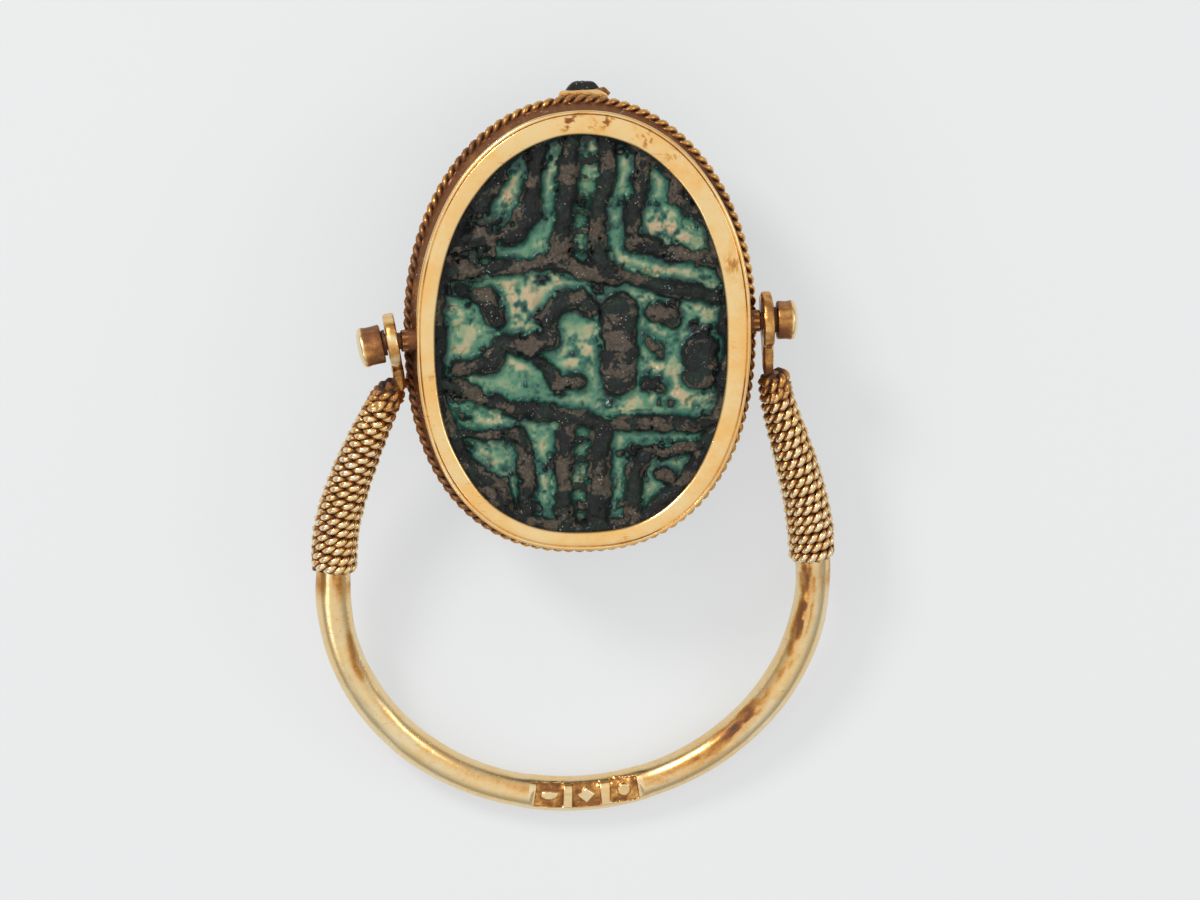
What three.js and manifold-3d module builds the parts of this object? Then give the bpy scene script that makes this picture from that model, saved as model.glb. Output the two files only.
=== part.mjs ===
// Swivel ring with a carved scarab in an oval bezel, lying on the beetle's back.
// Millimetres, +Z up. The scarab's carved base faces up, its head end is towards +Y,
// and the hoop slopes down towards -Y until its wire touches the surface.
import * as THREE from "three";
import { mergeVertices } from "three/addons/utils/BufferGeometryUtils.js";
import Module from "manifold-3d";

const wasm = await Module();
wasm.setup();

const RAD = Math.PI / 180;

// Scarab: the stone's own sizes
const scarabHalfWidth = 5.95;
const scarabHalfLength = 8.08;
const scarabHeight = 5.96; // base to the worn flat on the back
const plateThickness = 1.7; // the flat slab under the beetle
const carvingDepth = 0.36;
const carvedBorder = 0.45; // plain raised band round the carved base
const shellInset = 0.5; // back shell, inside the slab's outline
const shellEdgeDepth = 3.0; // slab face to the lower edge of the shell
const bodyInset = 1.15; // belly between the legs, inside the slab's outline
const legInset = 0.34; // outer face of the legs, inside the slab's outline
const headBeyondStone = 1.45; // tip of the head, past the end of the slab
const headShift = 0.2; // the head and its tongue sit a little off the middle
const headHalfWidth = 2.3;
const clypeusHalfWidth = 0.72;

// Outline exponents: 2 is an ellipse, more is fuller
const headEndFullness = 2.06;
const tailEndFullness = 2.36;

// Bezel: wall, flat rim over the base, flange and lip at the back
const stoneClearance = 0.04;
const wallThickness = 0.48;
const rimThickness = 0.3;
const rimOverhang = 0.13;
const rimLap = 0.2; // rim over the edge of the stone
const windowShift = [-0.08, -0.14]; // the opening in the rim was cut off-centre
const rimBevel = 0.07;
const bezelDepth = 2.38;
const flangeThickness = 0.22;
const flangeReach = 0.3;
const lipLap = 0.13; // lip rubbed over the back of the slab
const headLiftGap = 0.17; // the head bends clear of the slab inside the lip
const tongueHalfWidth = 0.98; // small tongue under the beetle's head
const tongueBeyondStone = 1.26;
const tongueThickness = 0.24;
const tongueCorner = 0.5; // depth of the tongue's rounded end, as a share of its half width
const tongueSquareness = 0.5; // 1 is a half ellipse, smaller is squarer

// Twisted border wire
const ropeDiameter = 0.5;
const ropeBeads = 76;
const contactGap = 0.03;

// Swivel
const pinDepth = 1.1; // hinge axis below the rim's face
const hingeOffset = -0.13; // hinge axis from the bezel's centre, towards the tail
const hingeSlope = 2.6 * RAD; // the pins don't quite line up across the ring
const pinRadius = 0.33;
const pinRunningGap = 0.04;
const pinEndGap = 0.1; // inner end of a pin, short of the bezel's inside
const socketRadius = 0.44;
const socketFlutes = 9;
const socketFluteDepth = 0.06;
const eyeRadius = 1.18;
const stalkHalfWidth = 0.36;
const capRadius = 0.78;
const capDome = 0.22;
const collarRadius = 0.52; // pin's shoulder between cap and eye
const collarLength = 0.14;

// Each side as the ring was made by hand: the left value, then the right.
// Turns are anticlockwise from the hinge axis.
const eyeGaps = [0.245, 0.12]; // bezel's border wire to the eye
const eyeThicknesses = [0.45, 0.42];
const eyeTurns = [7.5 * RAD, 0];
const capTurns = [10 * RAD, -2.6 * RAD];
const capLengths = [1.0, 0.82];
const socketReaches = [0.14, 0.06]; // fluted socket, past the border wire
const stalkLengths = [1.5, 1.72];
const armTopShifts = [0.012, 0.318]; // top of the arm, to the right of the eye's centre
const armTopDrops = [1.83, 2.222]; // and below it
const armSplays = [24.6 * RAD, 2 * RAD];
const armTopBows = [5.97, 1.9]; // how long the arm holds its direction at the top
const armFootBows = [2.03, 4.07]; // and at the foot
const wrapFootGaps = [0.62, 0.88]; // end of the wrap above the widest part of the hoop
const wrapTurnCounts = [21, 20];

// Hoop
const wireRadius = 0.715;
const hoopHalfWidth = 9.6; // to the wire's centre
const hoopHalfHeight = 9.26;
const hoopDrop = 10.79; // hinge to the widest part of the hoop
const hoopShift = -0.13;
const coreTopRadius = 0.22;
const coreFootRadius = 0.57;
const coilDiameter = 0.36;
const wrapGap = 0.03;

// Three small struck squares on the hoop, with plain marks in them
const stampPlaces = [-0.87, 0.65, 2.2]; // along the wire from the lowest point
const stampSize = [1.12, 0.92];
const stampSink = 0.11;
const stampFlatDepth = 0.13;
const stampFlatLength = 4.5;
const stampMarkSize = 0.3;

// Mesh fineness
const ovalSectors = 48;
const wireSides = 10;
const roundSides = 16;
const wrapSides = 8;

// Derived sizes
const wallInside = stoneClearance;
const wallOutside = wallInside + wallThickness;
const rimOutside = wallOutside + rimOverhang;
const ropeRadius = ropeDiameter / 2;
const ropeCentre = wallOutside + contactGap + ropeRadius;
const ropeOutside = ropeCentre + ropeRadius;
const ropeDepth = bezelDepth - flangeThickness - contactGap - ropeRadius;
const baseLevel = rimThickness + stoneClearance; // raised carving, below the rim's face
const floorLevel = baseLevel + carvingDepth;
const slabBack = baseLevel + plateThickness;
const shellEdge = baseLevel + shellEdgeDepth;
const restHeight = baseLevel + scarabHeight; // rim's face above the surface
const bezelHalfWidth = scarabHalfWidth + ropeOutside;
const headReach = scarabHalfLength + headBeyondStone;
const tongueReach = scarabHalfLength + tongueBeyondStone;

const sides = ["left", "right"].map((name, i) => ({
  name,
  sign: [-1, 1][i],
  eyeThickness: eyeThicknesses[i],
  eyeReach: bezelHalfWidth + eyeGaps[i] + eyeThicknesses[i] / 2,
  eyeTurn: eyeTurns[i],
  capTurn: capTurns[i],
  capLength: capLengths[i],
  socketReach: socketReaches[i],
  stalkLength: stalkLengths[i],
  armShift: [armTopShifts[i], -armTopDrops[i]],
  armSplay: armSplays[i],
  armBows: [armTopBows[i], armFootBows[i]],
  wrapFootGap: wrapFootGaps[i],
  wrapTurns: wrapTurnCounts[i],
}));

const paint = {
  gold: { color: 0xc79a4a, roughness: 0.28, metalness: 1 },
  wornGold: { color: 0x9c6a36, roughness: 0.4, metalness: 1 },
  stone: { color: 0x2f7f68, roughness: 0.55, metalness: 0 },
};

// Closed mesh from vertices and triangles, with its faces turned out
function closedGeometry(points, faces) {
  let volume = 0;
  for (const [a, b, c] of faces)
    volume += points[a].dot(points[b].clone().cross(points[c]));
  const turned = volume < 0 ? faces.map(([a, b, c]) => [a, c, b]) : faces;
  const geometry = new THREE.BufferGeometry();
  geometry.setFromPoints(points);
  geometry.setIndex(turned.flat());
  return geometry;
}

function solidOf(geometry) {
  const bare = geometry.clone();
  bare.deleteAttribute("normal");
  bare.deleteAttribute("uv");
  const merged = mergeVertices(bare, 1e-4);
  return new wasm.Manifold(
    new wasm.Mesh({
      numProp: 3,
      vertProperties: new Float32Array(merged.attributes.position.array),
      triVerts: new Uint32Array(merged.index.array),
    }),
  );
}

function geometryOf(solid) {
  const mesh = solid.getMesh();
  const geometry = new THREE.BufferGeometry();
  const position = new Float32Array(mesh.numVert * 3);
  for (let i = 0; i < mesh.numVert; i++)
    for (let axis = 0; axis < 3; axis++)
      position[i * 3 + axis] = mesh.vertProperties[i * mesh.numProp + axis];
  geometry.setAttribute("position", new THREE.BufferAttribute(position, 3));
  geometry.setIndex(new THREE.BufferAttribute(new Uint32Array(mesh.triVerts), 1));
  return geometry;
}

const union = (geometries) => geometries.map(solidOf).reduce((whole, next) => whole.add(next));

// Rings of equal length joined into one closed skin, with flat ends or as a closed loop
function loft(rings, looped = false) {
  const points = rings.flat();
  const size = rings[0].length;
  const faces = [];
  const last = looped ? rings.length : rings.length - 1;
  for (let r = 0; r < last; r++)
    for (let i = 0; i < size; i++) {
      const next = (i + 1) % size;
      const above = ((r + 1) % rings.length) * size;
      faces.push([r * size + i, r * size + next, above + next]);
      faces.push([r * size + i, above + next, above + i]);
    }
  if (!looped)
    for (const [start, flip] of [[0, false], [(rings.length - 1) * size, true]]) {
      const centre = new THREE.Vector3();
      for (let i = 0; i < size; i++) centre.addScaledVector(points[start + i], 1 / size);
      points.push(centre);
      for (let i = 0; i < size; i++) {
        const pair = [start + ((i + 1) % size), start + i];
        faces.push([points.length - 1, ...(flip ? pair.reverse() : pair)]);
      }
    }
  return closedGeometry(points, faces);
}

// Point on the stone's outline grown by an offset; angle 0 is +X and 90 degrees the head end
function ovalPoint(offset, angle, depth = 0) {
  const across = Math.cos(angle);
  const along = Math.sin(angle);
  const power = 2 / (along >= 0 ? headEndFullness : tailEndFullness);
  return new THREE.Vector3(
    (scarabHalfWidth + offset) * Math.sign(across) * Math.abs(across) ** power,
    (scarabHalfLength + offset) * Math.sign(along) * Math.abs(along) ** power,
    -depth,
  );
}

const ovalRing = (offset, depth) =>
  Array.from({ length: ovalSectors }, (_, i) =>
    ovalPoint(offset, (i / ovalSectors) * 2 * Math.PI, depth));

// Slab with the stone's outline between two depths
const ovalSlab = (offset, top, bottom) => loft([ovalRing(offset, top), ovalRing(offset, bottom)]);

// Closed profile of [offset, depth, shifted] swept round the outline
function ovalSweep(profile, sectors = ovalSectors) {
  const rings = Array.from({ length: sectors }, (_, i) =>
    profile.map(([offset, depth, shifted = 0]) =>
      ovalPoint(offset, (i / sectors) * 2 * Math.PI, depth)
        .add(new THREE.Vector3(windowShift[0] * shifted, windowShift[1] * shifted, 0))));
  return loft(rings, true);
}

// Bar of constant width along a line of points, from one depth to another
function strokeBar(line, width, top, bottom) {
  const half = width / 2;
  const left = [];
  const right = [];
  line.forEach((point, i) => {
    const before = line[Math.max(i - 1, 0)];
    const after = line[Math.min(i + 1, line.length - 1)];
    const into = point.clone().sub(before);
    const out = after.clone().sub(point);
    if (!into.length()) into.copy(out);
    if (!out.length()) out.copy(into);
    into.normalize();
    out.normalize();
    const along = into.clone().add(out).normalize();
    const side = new THREE.Vector2(-along.y, along.x);
    const reach = half / Math.max(along.dot(into), 0.6);
    left.push(point.clone().addScaledVector(side, reach));
    right.push(point.clone().addScaledVector(side, -reach));
  });
  const nose = (tip, neighbour) =>
    tip.clone().addScaledVector(tip.clone().sub(neighbour).normalize(), half * 0.5);
  const outline = [
    nose(line[0], line[1]),
    ...right,
    nose(line.at(-1), line.at(-2)),
    ...left.reverse(),
  ];
  const geometry = new THREE.ExtrudeGeometry(new THREE.Shape(outline), {
    depth: bottom - top,
    bevelEnabled: false,
  });
  return geometry.translate(0, 0, -bottom);
}

// The carved design: each mark is a line in shares of the stone's half width and half length
const designMarks = [
  // upper field: two nested corners and two stems on a band
  { width: 0.58, line: [[-0.95, 0.33], [-0.37, 0.34], [0.15, 0.29], [0.57, 0.21], [0.95, 0.13]] },
  { width: 0.58, line: [[-0.28, 0.93], [-0.3, 0.69], [-0.37, 0.54], [-0.9, 0.48]] },
  { width: 0.66, line: [[-0.51, 0.84], [-0.55, 0.66], [-0.74, 0.62]] },
  { width: 0.5, line: [[-0.07, 0.95], [-0.06, 0.66], [-0.11, 0.34]] },
  { width: 0.55, line: [[0.2, 0.94], [0.2, 0.66], [0.12, 0.33]] },
  { width: 0.54, line: [[0.46, 0.87], [0.41, 0.67], [0.35, 0.44], [0.92, 0.35]] },
  { width: 0.5, line: [[0.66, 0.7], [0.64, 0.56], [0.88, 0.53]] },
  // middle field: a row of plain strokes
  { width: 0.6, line: [[-0.74, 0.15], [-0.6, 0.1], [-0.56, -0.01], [-0.62, -0.12], [-0.8, -0.17]] },
  { width: 0.86, line: [[-0.46, -0.03], [-0.27, 0.02]] },
  { width: 0.46, line: [[-0.2, -0.12], [-0.19, 0.08], [-0.08, 0.16], [0.06, 0.14]] },
  { width: 0.48, line: [[-0.3, -0.24], [-0.02, -0.22]] },
  { width: 1.35, line: [[0.31, 0.06], [0.29, -0.22]] },
  { width: 0.44, line: [[0.42, 0.1], [0.62, 0.05]] },
  { width: 0.4, line: [[0.4, -0.27], [0.55, -0.24]] },
  { width: 1.0, line: [[0.79, -0.07], [0.77, -0.23]] },
  // lower field: band, stems and two corners
  { width: 0.55, line: [[-0.93, -0.28], [-0.57, -0.34], [0.1, -0.43], [0.93, -0.45]] },
  { width: 0.46, line: [[-0.85, -0.5], [-0.4, -0.51], [-0.37, -0.86]] },
  { width: 0.46, line: [[-0.72, -0.66], [-0.57, -0.69], [-0.55, -0.77]] },
  { width: 0.5, line: [[-0.1, -0.42], [-0.12, -0.66], [-0.13, -0.93]] },
  { width: 0.62, line: [[0.14, -0.44], [0.12, -0.68], [0.11, -0.93]] },
  { width: 0.5, line: [[0.85, -0.57], [0.39, -0.6], [0.34, -0.86]] },
  { width: 0.5, line: [[0.56, -0.71], [0.62, -0.72]] },
];

function carvedBase() {
  const marks = designMarks.map(({ width, line }) =>
    strokeBar(
      line.map(([x, y]) => new THREE.Vector2(x * scarabHalfWidth, y * scarabHalfLength)),
      width,
      baseLevel,
      floorLevel + carvingDepth / 2,
    ));
  const border = ovalSweep([
    [0, baseLevel],
    [-carvedBorder, baseLevel],
    [-carvedBorder, floorLevel + carvingDepth / 2],
    [0, floorLevel + carvingDepth / 2],
  ]);
  const slab = ovalSlab(0, floorLevel, slabBack);
  const within = solidOf(ovalSlab(-carvedBorder / 2, 0, slabBack));
  return union(marks).intersect(within).add(solidOf(border)).add(solidOf(slab));
}

// Back shell: depth of the domed back at a share across and a place along
const shellHalfWidth = scarabHalfWidth - shellInset;
const shellTail = -(scarabHalfLength - shellInset);
const shellFront = scarabHalfLength * 0.72;
const thoraxSeam = scarabHalfLength * 0.24;
const domeOverFlat = 0.16; // height of the dome that was worn away
const seamHalfWidth = 0.14;
const seamDepth = 0.22;

function shellDepth(across, y) {
  const towardsEnd = Math.min(1, Math.abs(y < 0 ? y / shellTail : y / (shellFront * 1.3)));
  const crown = (1 - towardsEnd ** 2.3) ** 0.52;
  const cross = (1 - Math.abs(across) ** 2.2) ** 0.52;
  return shellEdge + 0.2 + (restHeight - shellEdge - 0.2 + domeOverFlat) * crown * cross;
}

function backShell() {
  const rows = [];
  for (const share of [0, 0.04, 0.1, 0.2, 0.33, 0.48, 0.64, 0.81, 1])
    rows.push({ place: THREE.MathUtils.lerp(shellTail, thoraxSeam - seamHalfWidth, share), wing: true });
  rows[0].square = true;
  rows.push({ place: thoraxSeam, cut: seamDepth });
  for (const share of [0, 0.3, 0.62, 0.88, 1])
    rows.push({ place: THREE.MathUtils.lerp(thoraxSeam + seamHalfWidth, shellFront, share) });
  rows.at(-1).sink = 0.5; // the front edge of the thorax turns down to the head
  const columns = [-1, -0.96, -0.86, -0.68, -0.46, -0.24, -0.03, 0, 0.03, 0.24, 0.46, 0.68, 0.86, 0.96, 1];
  const rings = rows.map(({ place, wing, square, cut = 0, sink = 0 }) => {
    const top = columns.map((across) => {
      // the seam across the back bows towards the tail in the middle
      const bow = square ? 0 : 0.7 * (place - shellTail) / (thoraxSeam - shellTail);
      const y = place + Math.min(bow, 0.7) * (across * across - 0.3);
      const fullness = y < 0 ? tailEndFullness : headEndFullness;
      const along = Math.min(0.998, Math.abs(y / shellTail));
      const halfWidth = Math.max(0.4, shellHalfWidth * (1 - along ** fullness) ** (1 / fullness));
      const seam = wing && across === 0 ? seamDepth * 0.8 : 0;
      const depth = shellDepth(across, y) - Math.max(cut, seam) - sink;
      return new THREE.Vector3(across * halfWidth, y, -Math.max(depth, shellEdge + 0.15));
    });
    const foot = [...top].reverse().map((p) => new THREE.Vector3(p.x, p.y, -shellEdge));
    return [...top, ...foot];
  });
  return loft(rings);
}

// Head: broad cheeks that narrow to a clypeus with a toothed front edge
const headLength = headReach - shellFront;
const headOutline = [
  [headHalfWidth * 0.9, -0.215],
  [headHalfWidth, 0.094],
  [headHalfWidth * 0.93, 0.296],
  [headHalfWidth * 0.72, 0.471],
  [clypeusHalfWidth * 1.75, 0.663],
  [clypeusHalfWidth * 1.2, 0.811],
  [clypeusHalfWidth, 0.919],
  [clypeusHalfWidth * 0.8, 0.978],
].map(([half, share]) => [half, shellFront + headLength * share]);

// Stations from the neck forward, each a domed section between two depths
function headWedge() {
  const behindFlange = slabBack - 0.1;
  const overTongue = bezelDepth + tongueThickness + contactGap;
  const clearOfBezel = scarabHalfLength - lipLap - headLiftGap;
  const start = headOutline[0][1];
  const stations = [];
  headOutline.forEach(([half, y], i) => {
    const share = (y - start) / (headReach - start);
    const back = THREE.MathUtils.lerp(shellEdge + 1.6, shellEdge + 0.5, share ** 0.8);
    stations.push({ half, y, back, front: y < clearOfBezel ? behindFlange : overTongue });
    const next = headOutline[i + 1];
    if (next && y < clearOfBezel && next[1] > clearOfBezel)
      stations.push({ half, y: y + 0.05, back, front: overTongue });
  });
  stations.push({
    half: clypeusHalfWidth * 0.55, y: headReach, back: shellEdge + 0.38, front: overTongue + 0.1,
  });
  const rings = stations.map(({ half, y, back, front }) => {
    const rise = back - front;
    return [
      [1, 0], [1, 0.45], [0.86, 0.75], [0.5, 0.95], [0, 1],
      [-0.5, 0.95], [-0.86, 0.75], [-1, 0.45], [-1, 0],
    ].map(([across, share]) => {
      const shift = headShift * Math.min(1, Math.max(0, (y - shellFront) / 2));
      return new THREE.Vector3(across * half + shift, y, -(front + rise * share));
    });
  });
  return loft(rings);
}

// Notches between the teeth of the front edge
function headNotches() {
  const radius = 0.17;
  return [-0.6, -0.2, 0.2, 0.6].map((share) => {
    const y = headReach + 0.02 - 0.16 * share * share;
    return new THREE.CylinderGeometry(radius, radius * 0.7, 3, 5)
      .rotateX(Math.PI / 2)
      .translate(share * clypeusHalfWidth + headShift, y, -(shellEdge + 0.1))
      .toNonIndexed();
  });
}

// One leg: a slanted rib between the slab and the shell
function leg(plateAngle, shellAngle, halfSpan) {
  const levels = [
    { depth: slabBack - 0.15, angle: plateAngle, inset: legInset },
    { depth: (slabBack + shellEdge) / 2, angle: (plateAngle + shellAngle) / 2, inset: legInset },
    { depth: shellEdge + 0.15, angle: shellAngle, inset: shellInset + 0.12 },
  ];
  return loft(levels.map(({ depth, angle, inset }) =>
    [[-1, inset + 0.14], [-0.5, inset], [0.5, inset], [1, inset + 0.14],
      [1, bodyInset + 0.2], [-1, bodyInset + 0.2]].map(([share, within]) =>
      ovalPoint(-within, angle + share * halfSpan, depth))));
}

function makeScarab() {
  const legAngles = [[62, 48, 9], [22, 2, 9], [-22, -40, 10], [-52, -62, 8]];
  const legs = legAngles.flatMap(([plate, shell, span]) =>
    [1, -1].map((side) => {
      const place = (degrees) => (side > 0 ? degrees : 180 - degrees) * RAD;
      return leg(place(plate), place(shell), span * RAD);
    }));
  const belly = ovalSlab(-bodyInset, slabBack - 0.2, shellEdge + 0.3);
  const wornSize = 3 * scarabHalfLength;
  const wornAway = new THREE.BoxGeometry(wornSize, wornSize, wornSize)
    .translate(0, 0, -restHeight - wornSize / 2);
  const beetle = union([backShell(), headWedge(), belly, ...legs])
    .subtract(union(headNotches()))
    .subtract(solidOf(wornAway));
  return carvedBase().add(beetle);
}

// Bezel: rim plate, wall, flange for the border wire, and lip, in one profile
function bezelRing() {
  return ovalSweep([
    [-rimLap, rimBevel, 1],
    [-rimLap + rimBevel, 0, 1],
    [rimOutside - rimBevel, 0],
    [rimOutside, rimBevel],
    [rimOutside, rimThickness],
    [wallOutside, rimThickness],
    [wallOutside, bezelDepth - flangeThickness],
    [wallOutside + flangeReach, bezelDepth - flangeThickness],
    [wallOutside + flangeReach, bezelDepth],
    [-lipLap, bezelDepth],
    [-lipLap, slabBack + stoneClearance],
    [wallInside, slabBack + stoneClearance],
    [wallInside, rimThickness],
    [-rimLap, rimThickness, 1],
  ]);
}

function headTongue() {
  const root = scarabHalfLength + wallInside + wallThickness / 2;
  const outline = [];
  const steps = 8;
  for (let i = 0; i <= steps; i++) {
    const turn = (i / steps) * Math.PI;
    const across = Math.sign(Math.cos(turn)) * Math.abs(Math.cos(turn)) ** tongueSquareness;
    const rise = Math.abs(Math.sin(turn)) ** tongueSquareness;
    outline.push(new THREE.Vector2(
      tongueHalfWidth * across,
      tongueReach - tongueHalfWidth * tongueCorner * (1 - rise),
    ));
  }
  outline.push(new THREE.Vector2(-tongueHalfWidth, root), new THREE.Vector2(tongueHalfWidth, root));
  const depth = flangeThickness / 2 + tongueThickness;
  return new THREE.ExtrudeGeometry(new THREE.Shape(outline), { depth, bevelEnabled: false })
    .translate(headShift * 0.8, 0, -(bezelDepth + tongueThickness));
}

// Turns geometry built along +X from the hinge's centre onto one end of the hinge axis
function onHinge(geometry, side) {
  if (side.sign < 0) geometry.rotateZ(Math.PI);
  return geometry.rotateZ(hingeSlope);
}

const hingeCentre = new THREE.Vector3(0, hingeOffset, -pinDepth);
const socketEnd = (side) => bezelHalfWidth + side.socketReach;

// Round bar along +X between two places
function barAlong(radius, from, to, segments = roundSides) {
  const bar = new THREE.CylinderGeometry(radius, radius, to - from, segments);
  return bar.rotateZ(-Math.PI / 2).translate((from + to) / 2, 0, 0);
}

function flutedSocket(side) {
  const from = scarabHalfWidth + (wallInside + wallOutside) / 2;
  const ring = (x) => Array.from({ length: socketFlutes * 2 }, (_, i) => {
    const radius = socketRadius - (i % 2) * socketFluteDepth;
    const turn = (i / (socketFlutes * 2)) * 2 * Math.PI;
    return new THREE.Vector3(x, radius * Math.cos(turn), radius * Math.sin(turn));
  });
  return onHinge(loft([ring(from), ring(socketEnd(side))]), side);
}

function makeBezel() {
  let bezel = solidOf(bezelRing()).add(solidOf(headTongue()));
  for (const side of sides) {
    const { x, y, z } = hingeCentre;
    const socket = flutedSocket(side).translate(x, y, z);
    const boreFrom = scarabHalfWidth - rimLap / 2;
    const bore = onHinge(barAlong(pinRadius + pinRunningGap, boreFrom, socketEnd(side) + 1), side)
      .translate(x, y, z);
    bezel = bezel.add(solidOf(socket)).subtract(solidOf(bore));
  }
  return bezel;
}

// Border wire: a square wire twisted until it looks like rope, round the wall
function makeRope() {
  const rows = ropeBeads * 2;
  const centreAt = (i) => ovalPoint(ropeCentre, (i / rows) * 2 * Math.PI, ropeDepth);
  const rings = Array.from({ length: rows }, (_, i) => {
    const centre = centreAt(i);
    const along = centreAt(i + 1).sub(centreAt(i - 1)).normalize();
    const outward = new THREE.Vector3(along.y, -along.x, 0);
    const up = new THREE.Vector3(0, 0, 1);
    return Array.from({ length: 4 }, (_, k) => {
      const turn = ((k + i / 2) / 4) * 2 * Math.PI;
      return centre.clone()
        .addScaledVector(outward, ropeRadius * Math.cos(turn))
        .addScaledVector(up, ropeRadius * Math.sin(turn));
    });
  });
  return solidOf(loft(rings, true));
}

// Hoop's frame: origin on the hinge's centre, the hoop in the XY plane below it
function eyeCentre(side) {
  const along = new THREE.Vector3(Math.cos(hingeSlope), Math.sin(hingeSlope), 0);
  return along.multiplyScalar(side.sign * side.eyeReach);
}

// Arm from the foot of the eye to the side of the hoop
function armCurve(side) {
  const top = eyeCentre(side).add(new THREE.Vector3(...side.armShift, 0));
  const foot = new THREE.Vector3(hoopShift + side.sign * hoopHalfWidth, -hoopDrop, 0);
  const away = new THREE.Vector3(
    side.sign * Math.sin(side.armSplay), -Math.cos(side.armSplay), 0);
  return new THREE.CubicBezierCurve3(
    top,
    top.clone().addScaledVector(away, side.armBows[0]),
    foot.clone().add(new THREE.Vector3(0, side.armBows[1], 0)),
    foot,
  );
}

// Share of the arm's length at which its wrap ends
const wrapShare = (side, curve) => 1 - side.wrapFootGap / curve.getLength();
const coreRadius = (share) => THREE.MathUtils.lerp(coreTopRadius, coreFootRadius, share);
const wrapRadius = (share) => coreRadius(share) + wrapGap + coilDiameter;

// Round section across a path in the ring's plane
function wireRing(point, along, radius, count = wireSides) {
  const across = new THREE.Vector3(-along.y, along.x, 0).normalize();
  return Array.from({ length: count }, (_, k) => {
    const turn = ((k + 0.5) / count) * 2 * Math.PI;
    return point.clone()
      .addScaledVector(across, radius * Math.cos(turn))
      .add(new THREE.Vector3(0, 0, radius * Math.sin(turn)));
  });
}

function armRings(side) {
  const curve = armCurve(side);
  const end = wrapShare(side, curve);
  const rings = [];
  const steps = 6;
  for (let i = 0; i <= steps; i++) {
    const share = (i / steps) * end;
    rings.push(wireRing(curve.getPointAt(share), curve.getTangentAt(share), coreRadius(i / steps)));
  }
  const shoulder = Math.min(1, end + wrapGap / curve.getLength());
  for (const [share, radius] of [[shoulder, coreFootRadius], [shoulder + 0.002, wireRadius]])
    rings.push(wireRing(curve.getPointAt(share), curve.getTangentAt(share), radius));
  return rings;
}

function hoopWire() {
  const [left, right] = sides;
  const rings = armRings(left);
  const steps = 28;
  for (let i = 0; i <= steps; i++) {
    const turn = Math.PI * (1 + i / steps);
    const point = new THREE.Vector3(
      hoopShift + hoopHalfWidth * Math.cos(turn),
      -hoopDrop + hoopHalfHeight * Math.sin(turn),
      0,
    );
    const along = new THREE.Vector3(
      -hoopHalfWidth * Math.sin(turn), hoopHalfHeight * Math.cos(turn), 0);
    rings.push(wireRing(point, along, wireRadius));
  }
  for (const ring of armRings(right).reverse())
    rings.push(mirrored(ring));
  return loft(rings);
}

// Rings of the right arm run the other way, so their points are put in the left arm's order
const mirrored = (ring) => ring.map((_, k) => ring[(wireSides * 1.5 - 1 - k) % wireSides]);

// Eye: the wire's end hammered flat, with a short stalk
function eye(side) {
  const outline = [];
  const arc = 14;
  const meet = Math.asin(stalkHalfWidth / eyeRadius) * 1.5;
  for (let i = 0; i <= arc; i++) {
    const turn = -Math.PI / 2 + meet + (i / arc) * (2 * Math.PI - 2 * meet);
    outline.push(new THREE.Vector2(eyeRadius * Math.cos(turn), eyeRadius * Math.sin(turn)));
  }
  outline.push(new THREE.Vector2(-stalkHalfWidth, -side.stalkLength));
  outline.push(new THREE.Vector2(stalkHalfWidth, -side.stalkLength));
  const centre = eyeCentre(side);
  return new THREE.ExtrudeGeometry(new THREE.Shape(outline), {
    depth: side.eyeThickness,
    bevelEnabled: false,
  })
    .translate(0, 0, -side.eyeThickness / 2)
    .rotateY(Math.PI / 2)
    .rotateZ(hingeSlope + side.eyeTurn)
    .translate(centre.x, centre.y, centre.z);
}

function eyeHole(side) {
  const centre = eyeCentre(side);
  const hole = barAlong(pinRadius + wrapGap, -1, 1);
  return hole.rotateZ(hingeSlope).translate(centre.x, centre.y, centre.z);
}

// Neck between the eye's stalk and the top of the arm
function neck(side) {
  const curve = armCurve(side);
  const lean = side.eyeTurn + hingeSlope;
  const down = new THREE.Vector3(Math.sin(lean), -Math.cos(lean), 0);
  const from = eyeCentre(side).addScaledVector(down, side.stalkLength * 0.72);
  const half = side.eyeThickness / 2;
  const stations = [
    [from, down, half * 0.9],
    [from.clone().addScaledVector(down, side.stalkLength * 0.2), down, half * 0.92],
    [curve.getPointAt(0), curve.getTangentAt(0), coreTopRadius * 0.97],
    [curve.getPointAt(0.03), curve.getTangentAt(0.03), coreTopRadius * 0.97],
  ];
  return loft(stations.map(([point, along, radius]) => wireRing(point, along, radius)));
}

// Place on the hoop's centreline, a distance along the wire from its lowest point
function hoopPlace(distance) {
  const turn = distance / hoopHalfWidth;
  return {
    x: hoopShift + hoopHalfWidth * Math.sin(turn),
    y: -hoopDrop - hoopHalfHeight * Math.cos(turn),
    turn: Math.atan2(hoopHalfHeight * Math.sin(turn), hoopHalfWidth * Math.cos(turn)),
  };
}

// Box that follows the hoop, its lower face at a height above the hoop's plane
function hoopBox(distance, length, width, height) {
  const { x, y, turn } = hoopPlace(distance);
  return new THREE.BoxGeometry(length, width, 1)
    .translate(0, 0, height + 0.5)
    .rotateZ(turn)
    .translate(x, y, 0);
}

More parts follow.
